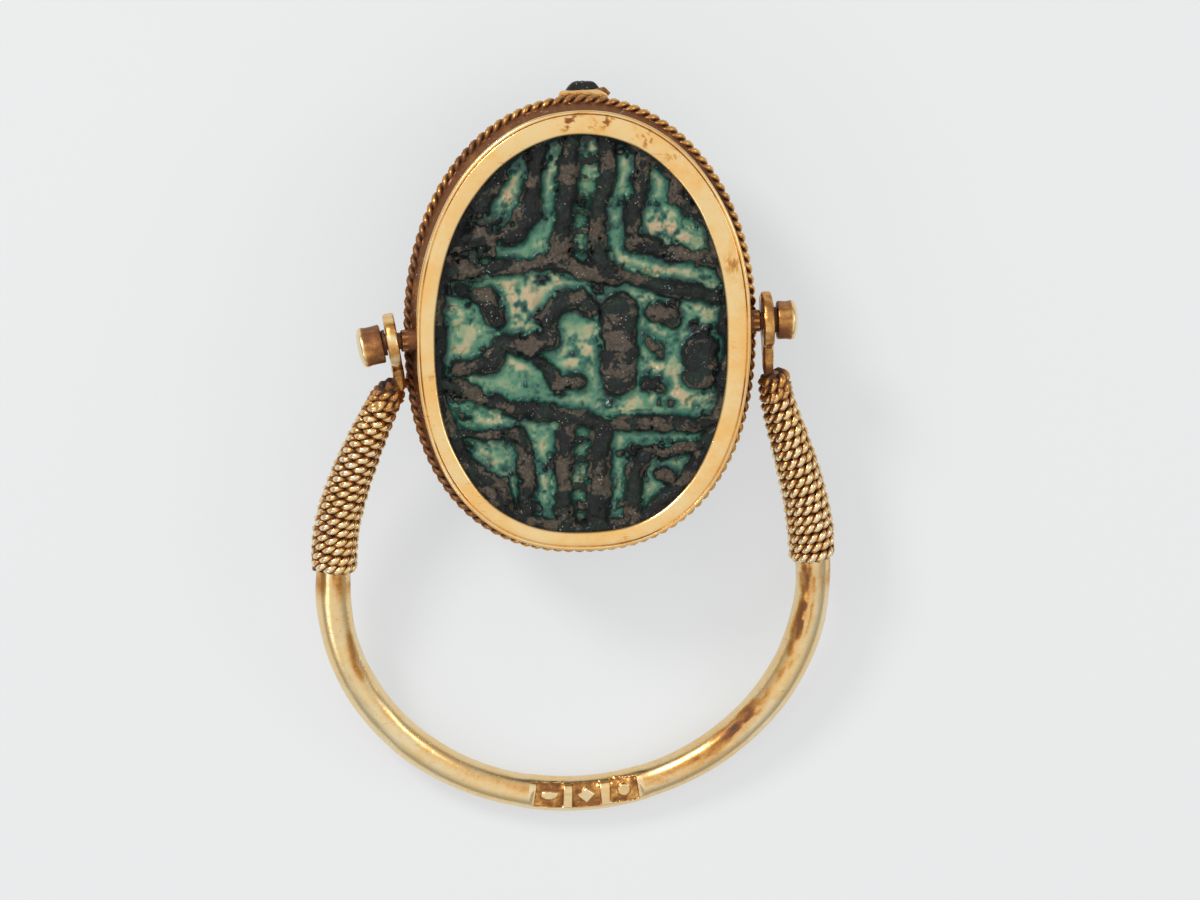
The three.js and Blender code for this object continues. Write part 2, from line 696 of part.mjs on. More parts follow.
// Small raised mark in each struck square: a bar, a lozenge and a pellet
function stampMarks(floor) {
  const size = stampMarkSize;
  const tall = stampSink * 1.5;
  const bar = new THREE.BoxGeometry(size * 0.6, size * 1.7, tall).rotateZ(0.5);
  const lozenge = new THREE.CylinderGeometry(size, size, tall, 4).rotateX(Math.PI / 2);
  const pellet = new THREE.CylinderGeometry(size * 0.75, size * 0.75, tall, 8).rotateX(Math.PI / 2);
  return [bar, lozenge, pellet].map((mark, i) => {
    const { x, y } = hoopPlace(stampPlaces[i]);
    return mark.translate(x, y, floor);
  });
}

function makeShank() {
  let shank = solidOf(hoopWire());
  for (const side of sides)
    shank = shank.add(solidOf(neck(side))).add(solidOf(eye(side))).subtract(solidOf(eyeHole(side)));
  const flat = wireRadius - stampFlatDepth;
  const flatMiddle = (stampPlaces[0] + stampPlaces.at(-1)) / 2;
  shank = shank.subtract(solidOf(hoopBox(flatMiddle, stampFlatLength, wireRadius * 3, flat)));
  for (const distance of stampPlaces)
    shank = shank.subtract(solidOf(hoopBox(distance, ...stampSize, flat - stampSink)));
  for (const mark of stampMarks(flat - stampSink))
    shank = shank.add(solidOf(mark));
  return shank;
}

// Wrap: turns of wire side by side on the tapered arm, as ridges on a sleeve
function makeWrap(side) {
  const curve = armCurve(side);
  const end = wrapShare(side, curve);
  const turns = side.wrapTurns;
  const pitch = end / turns;
  const valley = coilDiameter * 0.3;
  const at = (share, radius) =>
    wireRing(curve.getPointAt(share), curve.getTangentAt(share), radius, wrapSides);
  const rings = [];
  for (let i = 0; i <= turns; i++) {
    const edge = i * pitch;
    rings.push(at(Math.min(edge, end), wrapRadius(edge / end) - valley));
    if (i < turns) rings.push(at(edge + pitch / 2, wrapRadius((edge + pitch / 2) / end)));
  }
  const bore = 9;
  for (let i = bore; i >= 0; i--) {
    const share = (i / bore) * end;
    rings.push(at(share, coreRadius(i / bore) + wrapGap));
  }
  return solidOf(loft(rings, true));
}

// Pin: a domed cap and its shoulder outside the eye, and a stem through to the socket
function makePin(side) {
  const centre = eyeCentre(side);
  const shoulder = side.eyeThickness / 2 + wrapGap;
  const capFrom = shoulder + collarLength;
  const capEnd = capFrom + side.capLength;
  const profile = [
    [0, shoulder], [collarRadius, shoulder], [collarRadius, capFrom],
    [capRadius * 0.94, capFrom], [capRadius, capFrom + 0.08],
    [capRadius, capEnd - capDome],
    [capRadius * 0.84, capEnd - capDome * 0.35],
    [capRadius * 0.5, capEnd - capDome * 0.06],
    [0, capEnd],
  ].map(([radius, along]) => new THREE.Vector2(radius, along));
  const cap = new THREE.LatheGeometry(profile, roundSides)
    .rotateZ((-side.sign * Math.PI) / 2)
    .rotateZ(hingeSlope + side.capTurn)
    .translate(centre.x, centre.y, centre.z);
  const inner = scarabHalfWidth + wallInside + pinEndGap;
  const outer = side.eyeReach + capFrom + side.capLength / 2;
  const stem = onHinge(barAlong(pinRadius, inner, outer), side);
  return solidOf(cap).add(solidOf(stem));
}

function mesh(name, solid, finish) {
  const part = new THREE.Mesh(geometryOf(solid), new THREE.MeshStandardMaterial(paint[finish]));
  part.name = name;
  return part;
}

// Head of the ring: bezel and stone, level, face up
const head = new THREE.Group();
head.position.set(0, 0, restHeight);
head.add(mesh("scarab", makeScarab(), "stone"));
head.add(mesh("bezel", makeBezel(), "gold"));
head.add(mesh("border_wire", makeRope(), "wornGold"));

// Hoop, turned down about the hinge until its wire meets the surface
const hoop = new THREE.Group();
const hingeHeight = restHeight - pinDepth;
const hoopReach = hoopDrop + hoopHalfHeight;
const hoopLean = Math.asin(hingeHeight / Math.hypot(hoopReach, wireRadius))
  - Math.atan(wireRadius / hoopReach);
hoop.position.set(hingeCentre.x, hingeCentre.y, hingeHeight);
hoop.quaternion.setFromAxisAngle(
  new THREE.Vector3(Math.cos(hingeSlope), Math.sin(hingeSlope), 0), hoopLean);
hoop.add(mesh("hoop", makeShank(), "gold"));
for (const side of sides) {
  hoop.add(mesh("wire_wrap_" + side.name, makeWrap(side), "gold"));
  hoop.add(mesh("pin_" + side.name, makePin(side), "gold"));
}

// Origin under the middle of the ring, on the surface it lies on
const ring = new THREE.Group();
ring.add(head, hoop);
ring.updateMatrixWorld(true);
const bounds = new THREE.Box3().setFromObject(ring, true);
const middle = bounds.getCenter(new THREE.Vector3());
ring.position.set(-middle.x, -middle.y, -bounds.min.z);

export default ring;
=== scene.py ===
import math

import bmesh
import bpy
import numpy as np
from mathutils import Matrix, Vector


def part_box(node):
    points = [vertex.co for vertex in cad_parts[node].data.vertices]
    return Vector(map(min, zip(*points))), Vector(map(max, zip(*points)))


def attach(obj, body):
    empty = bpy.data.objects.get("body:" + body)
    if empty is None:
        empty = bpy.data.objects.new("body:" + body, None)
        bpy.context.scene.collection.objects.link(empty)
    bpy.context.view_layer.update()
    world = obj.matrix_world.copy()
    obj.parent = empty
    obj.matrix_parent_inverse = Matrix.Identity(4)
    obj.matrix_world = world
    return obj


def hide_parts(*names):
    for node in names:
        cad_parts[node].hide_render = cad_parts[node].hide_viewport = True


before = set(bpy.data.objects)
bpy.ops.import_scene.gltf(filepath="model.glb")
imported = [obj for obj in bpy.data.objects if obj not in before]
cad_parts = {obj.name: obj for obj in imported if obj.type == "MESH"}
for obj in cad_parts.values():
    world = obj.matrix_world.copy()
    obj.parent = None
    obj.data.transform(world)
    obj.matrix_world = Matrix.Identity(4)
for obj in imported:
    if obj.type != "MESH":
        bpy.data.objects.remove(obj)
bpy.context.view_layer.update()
print("frame loaded")

mm = 0.001
tau = 2 * math.pi

# the head of the ring: depths run down from the rim's flat face, sizes in mm
oval = {
    "halfWidth": 5.95,
    "halfLength": 8.08,
    "headFullness": 2.06,  # outline exponent, 2 is an ellipse
    "tailFullness": 2.36,
    "baseLevel": 0.34,  # raised carving below the rim's face
    "carvingDepth": 0.36,
    "slabBack": 2.04,
    "shellEdge": 3.34,
    "restHeight": 6.3,
}

# the hoop hangs from the hinge: places in its own plane, sizes in mm
hinge = {
    "slope": math.radians(2.6),
    "depth": 1.1,
    "offset": -0.13,
}


def headPlace():
    low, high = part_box("border_wire")
    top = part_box("bezel")[1].z
    return np.array([(low.x + high.x) / 2, (low.y + high.y) / 2, top]) / mm


headCentre = headPlace()
hingeCentre = headCentre + np.array([0, hinge["offset"], -hinge["depth"]])


def fromHead(points):  # x, y and depth below the rim, to metres in the row's frame
    p = np.asarray(points, float)
    return (headCentre + p * np.array([1, 1, -1])) * mm


def hoopTurn(lean):
    axis = Vector((math.cos(hinge["slope"]), math.sin(hinge["slope"]), 0))
    return np.array(Matrix.Rotation(lean, 3, axis))


def fromHoop(points):
    p = np.asarray(points, float)
    return (hingeCentre + p @ hoopTurn(hoop["lean"]).T) * mm


# Shared shape tools, all in mm

def smooth(low, high, x):
    t = np.clip((np.asarray(x, float) - low) / (high - low), 0, 1)
    return t * t * (3 - 2 * t)


def lumps(x, y, z, size, seed):  # smooth value noise, -1 to 1
    table = np.random.default_rng(seed).uniform(-1, 1, (24, 24, 24))
    q = [np.asarray(v, float) / size for v in np.broadcast_arrays(x, y, z)]
    cell = [np.floor(v).astype(int) for v in q]
    part = [v - c for v, c in zip(q, cell)]
    part = [t * t * (3 - 2 * t) for t in part]
    total = 0
    for i in (0, 1):
        for j in (0, 1):
            for k in (0, 1):
                share = 1
                for step, t in zip((i, j, k), part):
                    share = share * (t if step else 1 - t)
                index = tuple((c + step) % 24 for c, step in zip(cell, (i, j, k)))
                total = total + share * table[index]
    return total


def cloud(x, y, size, seed, layers=3):  # the same noise in finer and finer layers
    total = 0
    for k in range(layers):
        total = total + lumps(x, y, 0, size / 2 ** k, seed + k) * 0.6 ** k
    return total


def ovalAt(offset, angle):
    across, along = np.cos(angle), np.sin(angle)
    power = np.where(along >= 0, 2 / oval["headFullness"], 2 / oval["tailFullness"])
    x = (oval["halfWidth"] + offset) * np.sign(across) * np.abs(across) ** power
    y = (oval["halfLength"] + offset) * np.sign(along) * np.abs(along) ** power
    return x, y


def unit(v):
    return v / np.maximum(np.linalg.norm(v, axis=-1, keepdims=True), 1e-12)


def gridFaces(rows, columns, start=0, loopRows=False, loopColumns=True):
    r = np.arange(rows if loopRows else rows - 1)[:, None]
    c = np.arange(columns if loopColumns else columns - 1)[None, :]
    nextRow, nextColumn = (r + 1) % rows, (c + 1) % columns
    quads = [r * columns + c, r * columns + nextColumn,
             nextRow * columns + nextColumn, nextRow * columns + c]
    return np.stack([np.broadcast_to(q, (r.size, c.size)) for q in quads], -1).reshape(-1, 4) + start


class Shape:  # gathers skins of one piece, with named values at each point
    def __init__(self):
        self.points, self.faces, self.fields, self.count = [], [], {}, 0

    def add(self, points, faces, **fields):
        flat = np.asarray(points, float).reshape(-1, 3)
        for name in set(self.fields) | set(fields):
            held = self.fields.setdefault(name, [np.zeros(self.count)])
            value = fields.get(name, 0.0)
            held.append(np.broadcast_to(value, np.shape(points)[:-1]).reshape(-1))
        self.points.append(flat)
        self.faces += [[int(i) + self.count for i in face] for face in faces]
        self.count += len(flat)

    def skin(self, rings, looped=False, capped=True, **fields):  # rings of points, rows by columns
        rings = np.asarray(rings, float)
        rows, columns = rings.shape[:2]
        faces = gridFaces(rows, columns, loopRows=looped).tolist()
        if capped and not looped:
            faces.append(list(range(columns))[::-1])
            faces.append([(rows - 1) * columns + i for i in range(columns)])
        self.add(rings, faces, **fields)


def makePiece(name, shape, place, body, stands, finish, crease=40):
    points = place(np.concatenate(shape.points))
    mesh = bpy.data.meshes.new(name)
    mesh.from_pydata(points.tolist(), [], shape.faces)
    mesh.validate()
    fixNormals(mesh)
    for field, parts in shape.fields.items():
        values = np.concatenate(parts).astype(np.float32)
        mesh.attributes.new(field, "FLOAT", "POINT").data.foreach_set("value", values)
    mesh.polygons.foreach_set("use_smooth", [True] * len(mesh.polygons))
    mesh.set_sharp_from_angle(angle=math.radians(crease))
    piece = bpy.data.objects.new(name, mesh)
    bpy.context.collection.objects.link(piece)
    mesh.materials.append(finish)
    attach(piece, body)
    if stands:
        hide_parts(*stands)
    print("piece", name, len(mesh.polygons), "faces")
    return piece


def fixNormals(mesh):
    work = bmesh.new()
    work.from_mesh(mesh)
    bmesh.ops.recalc_face_normals(work, faces=work.faces)
    work.to_mesh(mesh)
    work.free()


def tube(path, radius, sides=8, up=(0, 0, 1)):  # rings of a round bar along a path
    path = np.asarray(path, float)
    along = unit(np.gradient(path, axis=0))
    across = unit(np.cross(along, np.asarray(up, float)))
    over = np.cross(across, along)
    turn = np.arange(sides) / sides * tau
    radius = np.broadcast_to(radius, len(path))[:, None, None]
    return (path[:, None] + radius * (np.cos(turn)[None, :, None] * across[:, None]
            + np.sin(turn)[None, :, None] * over[:, None]))


def latheRings(profile, axisTurn, centre, sides=40, wobble=0.0, seed=1):  # [radius, along] pairs
    turn = np.arange(sides) / sides * tau
    axis = np.array([math.cos(axisTurn), math.sin(axisTurn), 0])
    across = np.array([-math.sin(axisTurn), math.cos(axisTurn), 0])
    rings = []
    for radius, along in profile:
        ring = (np.asarray(centre) + axis * along + radius * (
            np.cos(turn)[:, None] * across + np.sin(turn)[:, None] * np.array([0, 0, 1])))
        rings.append(ring)
    rings = np.array(rings)
    shift = wobble * lumps(rings[..., 0], rings[..., 1], rings[..., 2], 0.45, seed)
    middle = np.asarray(centre) + axis * np.array([along for _, along in profile])[:, None, None]
    return rings + unit(rings - middle) * shift[..., None]


def rounded(corners, radius, steps):  # rounds the corners of a closed flat profile
    pts = [np.array(c, float) for c in corners]
    out = []
    for i, p in enumerate(pts):
        a, b = pts[i - 1], pts[(i + 1) % len(pts)]
        before, after = np.linalg.norm(a[:2] - p[:2]), np.linalg.norm(b[:2] - p[:2])
        reach = min(radius, 0.45 * before, 0.45 * after)
        start = p + (a - p) * reach / max(before, 1e-9)
        end = p + (b - p) * reach / max(after, 1e-9)
        for k in range(steps + 1):
            t = k / steps
            out.append((1 - t) ** 2 * start + 2 * t * (1 - t) * p + t * t * end)
    return np.array(out)


# Shader expressions

class Wire:  # a socket that can be used in sums
    def __init__(self, finish, socket):
        self.finish, self.socket = finish, socket

    def math(self, operation, *others):
        values = {i: v for i, v in enumerate((self,) + others)}
        return self.finish.node("ShaderNodeMath", {"operation": operation}, values)

    def __add__(self, other):
        return self.math("ADD", other)

    def __radd__(self, other):
        return self + other

    def __mul__(self, other):
        return self.math("MULTIPLY", other)

    def __rmul__(self, other):
        return self * other

    def __sub__(self, other):
        return self.math("SUBTRACT", other)

    def __rsub__(self, other):
        return self * -1 + other

    def step(self, low, high):  # eased from 0 at low to 1 at high
        return self.finish.node("ShaderNodeMapRange", {"interpolation_type": "SMOOTHSTEP"},
                                {"Value": self, "From Min": low, "From Max": high})


class Finish:
    def __init__(self, name, world=None):
        self.material = world or bpy.data.materials.new(name)
        self.material.use_nodes = True
        self.tree = self.material.node_tree
        if not world:
            self.shader = self.tree.nodes["Principled BSDF"]
            place = self.node("ShaderNodeTexCoord", output="Object")
            self.place = self.node("ShaderNodeVectorMath", {"operation": "SCALE"},
                                   {0: place, "Scale": 1 / mm})  # now in mm

    def node(self, kind, settings=None, values=None, output=0):
        made = self.tree.nodes.new(kind)
        for key, value in (settings or {}).items():
            setattr(made, key, value)
        for key, value in (values or {}).items():
            self.feed(made.inputs[key], value)
        return Wire(self, made.outputs[output])

    def feed(self, socket, value):
        if isinstance(value, Wire):
            self.tree.links.new(value.socket, socket)
        elif socket.type == "RGBA" and len(value) == 3:
            socket.default_value = (*value, 1)
        else:
            socket.default_value = value

    def noise(self, scale, detail=3, rough=0.55, stretch=(1, 1, 1), seed=0):
        place = self.node("ShaderNodeMapping", {}, {
            "Vector": self.place, "Scale": stretch, "Location": (seed, seed * 1.7, -seed)})
        return self.node("ShaderNodeTexNoise", {}, {
            "Vector": place, "Scale": scale, "Detail": detail, "Roughness": rough})

    def cells(self, scale, seed=0):
        place = self.node("ShaderNodeMapping", {}, {"Vector": self.place, "Location": (seed, -seed, seed)})
        return self.node("ShaderNodeTexVoronoi", {}, {"Vector": place, "Scale": scale})

    def field(self, name):
        return self.node("ShaderNodeAttribute", {"attribute_name": name}, output="Fac")

    def mix(self, share, a, b):
        return self.node("ShaderNodeMix", {"data_type": "RGBA"}, {0: share, 6: a, 7: b}, output=2)

    def bump(self, height, distance, strength=1.0):
        return self.node("ShaderNodeBump", {}, {
            "Height": height, "Distance": distance * mm, "Strength": strength})

    def shade(self, **sockets):
        for key, value in sockets.items():
            self.feed(self.shader.inputs[key.replace("_", " ")], value)
        return self.material


# Finishes

goldTones = {
    "butter": (0.88, 0.64, 0.31),
    "ivory": (0.90, 0.78, 0.54),
    "cream": (0.86, 0.70, 0.42),
    "honey": (0.90, 0.54, 0.19),
    "orange": (0.72, 0.37, 0.10),
    "copper": (0.42, 0.175, 0.052),
    "tarnish": (0.20, 0.075, 0.026),
    "dirt": (0.060, 0.030, 0.016),
    "fleck": (0.42, 0.37, 0.36),
}


def goldFinish(name, light="butter", deep="honey", patina=0.0, gloss=0.24, flecks=0.0):
    f = Finish(name)
    tones = goldTones
    cloud = f.noise(0.5, 4, 0.6)
    fine = f.noise(2.6, 4, 0.65, seed=7)
    speckle = f.noise(8, 4, 0.7, seed=3)
    colour = f.mix((cloud + (fine - 0.5) * 0.3).step(0.36, 0.66), tones[light], tones[deep])
    # grime and wear, and on the hoop also painted dark reflection lines
    worn = f.field("grime") + patina
    ragged = (speckle - 0.5) * 0.34 + (fine - 0.5) * 0.3
    blush = (worn + ragged * 0.6).step(0.08, 0.42)
    brown = (worn + ragged).step(0.36, 0.74)
    black = (worn + ragged * 0.8).step(0.8, 1.1)
    colour = f.mix(blush, colour, tones["orange"])
    colour = f.mix((worn + ragged).step(0.26, 0.58) * 0.75, colour, tones["copper"])
    colour = f.mix(brown, colour, tones["tarnish"])
    colour = f.mix(black, colour, tones["dirt"])
    pits = (1 - f.cells(3.2, 5).step(0.04, 0.13)) * f.noise(0.7, 2, 0.5, seed=11).step(0.5, 0.6)
    nicks = f.noise(5, 2, 0.6, stretch=(0.25, 2.2, 1), seed=13).step(0.66, 0.72)
    nicks = nicks * f.noise(0.6, 2, seed=17).step(0.48, 0.62)
    marks = pits * 0.6 + nicks * 0.45
    colour = f.mix(marks * 0.7, colour, tones["tarnish"])
    metal = 1 - brown * 0.35 - black * 0.5
    if flecks:
        fleck = (1 - f.cells(5.5, 9).step(0.1, 0.24)) * brown * f.noise(0.9, 2, seed=19).step(0.46, 0.6)
        colour = f.mix(fleck * flecks, colour, tones["fleck"])
        metal = metal - fleck * flecks * 0.4
    rough = gloss + (fine - 0.5) * 0.16 + brown * 0.2 + black * 0.2 + marks * 0.2
    height = fine * 0.4 + speckle * 0.22 + cloud * 0.8 - marks * 0.9 + brown * speckle * 0.9
    return f.shade(Base_Color=colour, Metallic=metal, Roughness=rough, Normal=f.bump(height, 0.016, 0.5))


stoneTones = {
    "green": (0.060, 0.190, 0.112),
    "bright": (0.138, 0.292, 0.172),
    "pale": (0.310, 0.338, 0.185),
    "tan": (0.460, 0.345, 0.205),
    "teal": (0.010, 0.074, 0.056),
    "ink": (0.013, 0.015, 0.014),
    "moss": (0.018, 0.031, 0.023),
    "brown": (0.064, 0.047, 0.032),
    "grey": (0.118, 0.097, 0.072),
    "speck": (0.55, 0.52, 0.45),
}


def stoneFinish(name):
    f = Finish(name)
    tones = stoneTones
    raised, hollow, soil, bare, pale = (f.field(k) for k in ("raised", "hollow", "soil", "bare", "pale"))
    broad = f.noise(0.8, 3, 0.6, seed=21).step(0.38, 0.62)
    patch = f.noise(0.95, 5, 0.58, seed=27)
    fine = f.noise(2.6, 5, 0.6, seed=9).step(0.34, 0.66)
    small = f.noise(7.0, 4, 0.66, seed=15).step(0.34, 0.66)
    grain = f.noise(16, 3, 0.7, seed=5)
    # glaze in the sunk ground: thin and tan in the middle of each panel with painted light there, deep teal
    # along its edges with painted shade next to the marks
    ground = f.mix(broad * 0.6 + fine * 0.4, tones["green"], tones["bright"])
    # painted light: the ground turns pale and tan away from the marks, on top of tan glaze patches
    thinGlazeAndLight = pale + (broad - 0.5) * 0.26 + (fine - 0.5) * 0.08 + (small - 0.5) * 0.03
    ground = f.mix(thinGlazeAndLight.step(0.1, 0.7), ground, tones["pale"])
    ground = f.mix(thinGlazeAndLight.step(0.4, 1.0), ground, tones["tan"])
    # painted shade: the ground darkens to teal and ink next to the marks, partly glaze pooled there
    poolAndShade = hollow + (fine - 0.5) * 0.18 + (small - 0.5) * 0.08
    ground = f.mix(poolAndShade.step(0.1, 0.72), ground, tones["teal"])
    ground = f.mix(poolAndShade.step(0.6, 0.95), ground, tones["ink"])
    dark = soil + (small - 0.5) * 0.24 + (fine - 0.5) * 0.36 + (broad - 0.5) * 0.24
    ground = f.mix(dark.step(0.3, 0.72) * 0.9, ground, tones["moss"])
    ground = f.mix(dark.step(0.6, 0.9), ground, tones["ink"])
    crumbs = (1 - f.cells(4.6, 31).step(0.08, 0.2)) * f.noise(1.6, 2, 0.6, seed=33).step(0.52, 0.6)
    ground = f.mix(crumbs * 0.8, ground, tones["moss"])
    # raised marks: black and mossy, ragged patches of bare brown stone and a painted highlight of bare stone
    # along their edges, pale specks
    top = f.mix((small * 0.4 + broad * 0.6).step(0.5, 0.95), tones["ink"], tones["moss"])
    stone = f.mix(small * 0.7 + fine * 0.3, tones["brown"], tones["grey"])
    top = f.mix((patch + bare * 0.27 + (small - 0.5) * 0.05).step(0.59, 0.64), top, stone)
    specks = (1 - f.cells(7.5, 3).step(0.12, 0.26)) * f.noise(1.1, 3, 0.6, seed=14).step(0.53, 0.63)
    edge = (raised + (fine - 0.5) * 0.1 + (small - 0.5) * 0.12).step(0.36, 0.56)
    colour = f.mix(edge, ground, top)
    colour = f.mix(specks * (0.1 + edge * 0.65), colour, tones["speck"])
    rough = 0.28 + edge * 0.22 + (grain - 0.5) * 0.3 + broad * 0.08
    height = fine * (0.25 + edge * 0.35) + small * (0.12 + edge * 0.45)
    height = height + grain * (0.1 + edge * 0.7) + specks * 0.4 - crumbs * 0.3
    return f.shade(Base_Color=colour, Roughness=rough, Coat_Weight=(1 - edge) * 0.26 + 0.06,
                   Coat_Roughness=0.14, Specular_IOR_Level=0.22, Normal=f.bump(height, 0.06, 0.8))


goldBezel = goldFinish("bezelGold", "butter", "honey", 0.035, 0.24, flecks=0.9)
goldHoop = goldFinish("hoopGold", "cream", "butter", 0.02, 0.26)
goldRope = goldFinish("borderGold", "honey", "orange", 0.12, 0.3, flecks=0.4)
goldCoil = goldFinish("wrapGold", "ivory", "butter", 0.06, 0.24)
goldPin = goldFinish("pinGold", "cream", "butter", 0.04, 0.26)
glazedStone = stoneFinish("glazedCarving")
print("finishes made")


# The carved base

carving = {
    "cells": 298,  # squares across the carved face, each way
    "border": 0.45,
    "slope": 0.13,
    "rounding": 0.11,
    "wander": 0.12,
}
marks = [  # points along each raised mark: right, up and half width, in mm from the middle
    # upper field: a band, two nested corners each side, two stems
    [(-5.6, 2.35, 0.42), (-3.7, 2.5, 0.31), (-1.9, 2.56, 0.26), (-0.6, 2.5, 0.35), (0.5, 2.27, 0.37),
     (1.8, 2.02, 0.27), (3.4, 1.6, 0.26), (5.7, 1.15, 0.25)],
    [(-1.72, 7.7, 0.28), (-1.95, 6.1, 0.28), (-2.15, 4.75, 0.42), (-2.5, 3.9, 0.36), (-4.0, 3.62, 0.29),
     (-5.4, 3.5, 0.36)],
    [(-3.15, 7.1, 0.36), (-3.5, 5.9, 0.36), (-4.2, 4.95, 0.45), (-5.3, 4.55, 0.5)],
    [(-0.5, 7.9, 0.34), (-0.62, 5.4, 0.36), (-0.78, 3.6, 0.38), (-0.92, 2.7, 0.42)],
    [(1.0, 7.9, 0.36), (0.93, 6.2, 0.33), (0.7, 4.9, 0.3), (0.62, 3.4, 0.34), (0.7, 2.5, 0.4)],
    [(2.62, 7.1, 0.36), (2.38, 6.1, 0.3), (2.02, 4.6, 0.27), (1.98, 3.5, 0.33), (3.2, 3.12, 0.28),
     (5.5, 2.65, 0.26)],
    [(3.85, 6.4, 0.3), (3.74, 5.3, 0.36), (4.3, 4.62, 0.34), (5.3, 4.3, 0.36)],
    # middle field: plain thick strokes
    [(-4.75, 1.55, 0.26), (-3.75, 1.2, 0.42), (-3.45, 0.35, 0.36)],
    [(-4.9, -1.55, 0.27), (-3.6, -1.25, 0.4), (-3.3, -0.55, 0.3)],
    [(-3.0, -0.45, 0.34), (-2.15, -0.7, 0.5), (-1.35, -0.35, 0.44)],
    [(-1.35, 0.25, 0.33), (-0.95, 1.1, 0.32), (-0.1, 1.25, 0.3), (0.45, 0.75, 0.24)],
    [(-1.6, -1.35, 0.26), (-1.0, -2.15, 0.32), (-0.1, -2.05, 0.28)],
    [(1.45, 0.65, 0.62), (1.4, -0.8, 0.7), (1.42, -2.05, 0.58)],
    [(2.75, 0.72, 0.3), (3.55, 0.35, 0.24)],
    [(2.7, -0.62, 0.26), (3.05, -0.9, 0.2)],
    [(2.6, -2.15, 0.28), (3.05, -2.3, 0.2)],
    [(4.75, -0.75, 0.58), (4.62, -1.85, 0.62)],
    # lower field: a band, two stems and two corners
    [(-5.5, -2.1, 0.34), (-4.1, -2.75, 0.3), (-2.6, -3.2, 0.28), (-0.6, -3.5, 0.31), (1.3, -3.75, 0.28),
     (5.6, -3.85, 0.25)],
    [(-5.1, -4.12, 0.2), (-2.5, -4.22, 0.24), (-2.2, -5.2, 0.28), (-2.25, -7.3, 0.28)],
    [(-4.5, -5.3, 0.2), (-3.95, -5.85, 0.26), (-3.3, -6.2, 0.24), (-3.0, -7.1, 0.24)],
    [(-0.62, -3.6, 0.33), (-0.72, -5.5, 0.34), (-0.75, -7.9, 0.33)],
    [(0.75, -3.8, 0.36), (0.65, -5.6, 0.42), (0.5, -7.9, 0.44)],
    [(5.2, -4.7, 0.22), (2.5, -4.95, 0.25), (2.1, -5.5, 0.32), (2.0, -7.4, 0.36)],
    [(3.1, -5.8, 0.2), (3.5, -5.95, 0.22)],
]
bridges = [(6.75, 0.2), (6.05, 0.17), (5.35, 0.2), (4.6, 0.18), (3.9, 0.2), (3.2, 0.16),
           (-4.3, 0.2), (-5.2, 0.17), (-6.2, 0.2), (-7.0, 0.18)]  # low bars between the stems
dirtAndShadowSpots = [  # dark dirt, with painted rim shadow in the large spot at the upper left: place, radius and strength
    (-4.7, 3.5, 1.7, 0.95), (-5.6, 2.2, 0.9, 0.75), (-4.6, 5.6, 0.8, 0.75), (-2.4, 7.3, 0.9, 0.5),
    (-5.3, 1.0, 0.7, 0.3), (0.25, 7.4, 0.9, 0.3), (0.2, 5.2, 0.6, 0.42), (-0.2, 3.5, 0.5, 0.3),
    (-4.2, -6.0, 0.9, 0.75), (-5.2, -4.9, 0.6, 0.5), (0.1, -7.4, 1.3, 0.42), (3.7, -6.6, 0.8, 0.45),
    (4.9, 4.6, 0.9, 0.55), (5.4, 3.4, 0.6, 0.5), (5.6, 0.2, 0.7, 0.45), (5.4, -2.9, 0.6, 0.3),
    (2.7, 1.3, 0.6, 0.25), (-2.6, 1.9, 0.4, 0.2), (1.5, -6.3, 0.5, 0.25), (-0.1, -5.8, 0.5, 0.35),
]
paled = [  # thin pale glaze: place, radius and strength
    (-2.85, 5.7, 0.8, 0.7), (-0.6, 1.7, 1.0, 0.4), (-2.4, 1.3, 0.9, 0.6), (0.4, -0.7, 0.9, 0.6),
    (4.0, -2.4, 1.0, 0.45), (3.6, -0.2, 0.8, 0.4), (-4.9, 0.1, 0.8, 0.4), (1.8, 6.8, 0.6, 0.45),
    (3.0, 4.2, 0.8, 0.55), (3.1, 6.2, 0.6, 0.4), (0.4, 6.9, 0.4, 0.5), (1.4, -4.9, 0.5, 0.3),
    (-2.6, -2.0, 1.1, 0.2), (2.9, 2.3, 1.0, 0.35), (0.1, -4.1, 0.3, 1.0), (-3.4, 4.4, 0.7, 0.3),
    (-1.4, 5.6, 0.6, 0.3), (1.3, 4.2, 0.7, 0.3), (4.6, 1.1, 0.6, 0.5), (-3.0, -3.7, 0.6, 0.25),
]
bared = [  # brown stone bared on the raised marks
    (-3.3, 2.5, 1.1, 0.55), (0.1, 2.4, 0.8, 0.7), (3.0, 3.1, 1.2, 0.55), (2.3, 5.6, 0.9, 0.4),
    (1.0, 6.6, 0.8, 0.4), (-0.6, 6.6, 0.7, 0.3), (-4.0, 1.4, 0.8, 0.5), (-2.1, -0.7, 0.7, 0.5),
    (-0.9, -2.1, 0.9, 0.5), (1.5, -0.5, 1.4, 0.35), (1.5, -2.0, 0.8, 0.4), (-4.4, -1.5, 0.8, 0.5),
    (-3.9, -2.8, 1.2, 0.5), (3.4, -3.8, 1.8, 0.5), (3.8, -4.9, 1.3, 0.45), (-2.2, -6.2, 0.9, 0.35),
    (-0.7, -6.0, 1.6, 0.45), (3.3, -5.9, 0.4, 1.0), (-0.7, 3.2, 0.6, 0.5), (0.6, 4.0, 0.8, 0.3),
]


def markDistance(x, y, line):  # how far inside a mark of changing width, below 0 outside
    inside = np.full(x.shape, -99.0)
    for (ax, ay, aw), (bx, by, bw) in zip(line[:-1], line[1:]):
        dx, dy = bx - ax, by - ay
        t = np.clip(((x - ax) * dx + (y - ay) * dy) / (dx * dx + dy * dy), 0, 1)
        away = np.hypot(x - ax - t * dx, y - ay - t * dy)
        inside = np.maximum(inside, aw + (bw - aw) * t - away)
    return inside


def patches(x, y, spots):
    total = 0 * x
    for px, py, radius, strength in spots:
        total = np.maximum(total, strength * np.exp(-((x - px) ** 2 + (y - py) ** 2) / radius ** 2))
    return total


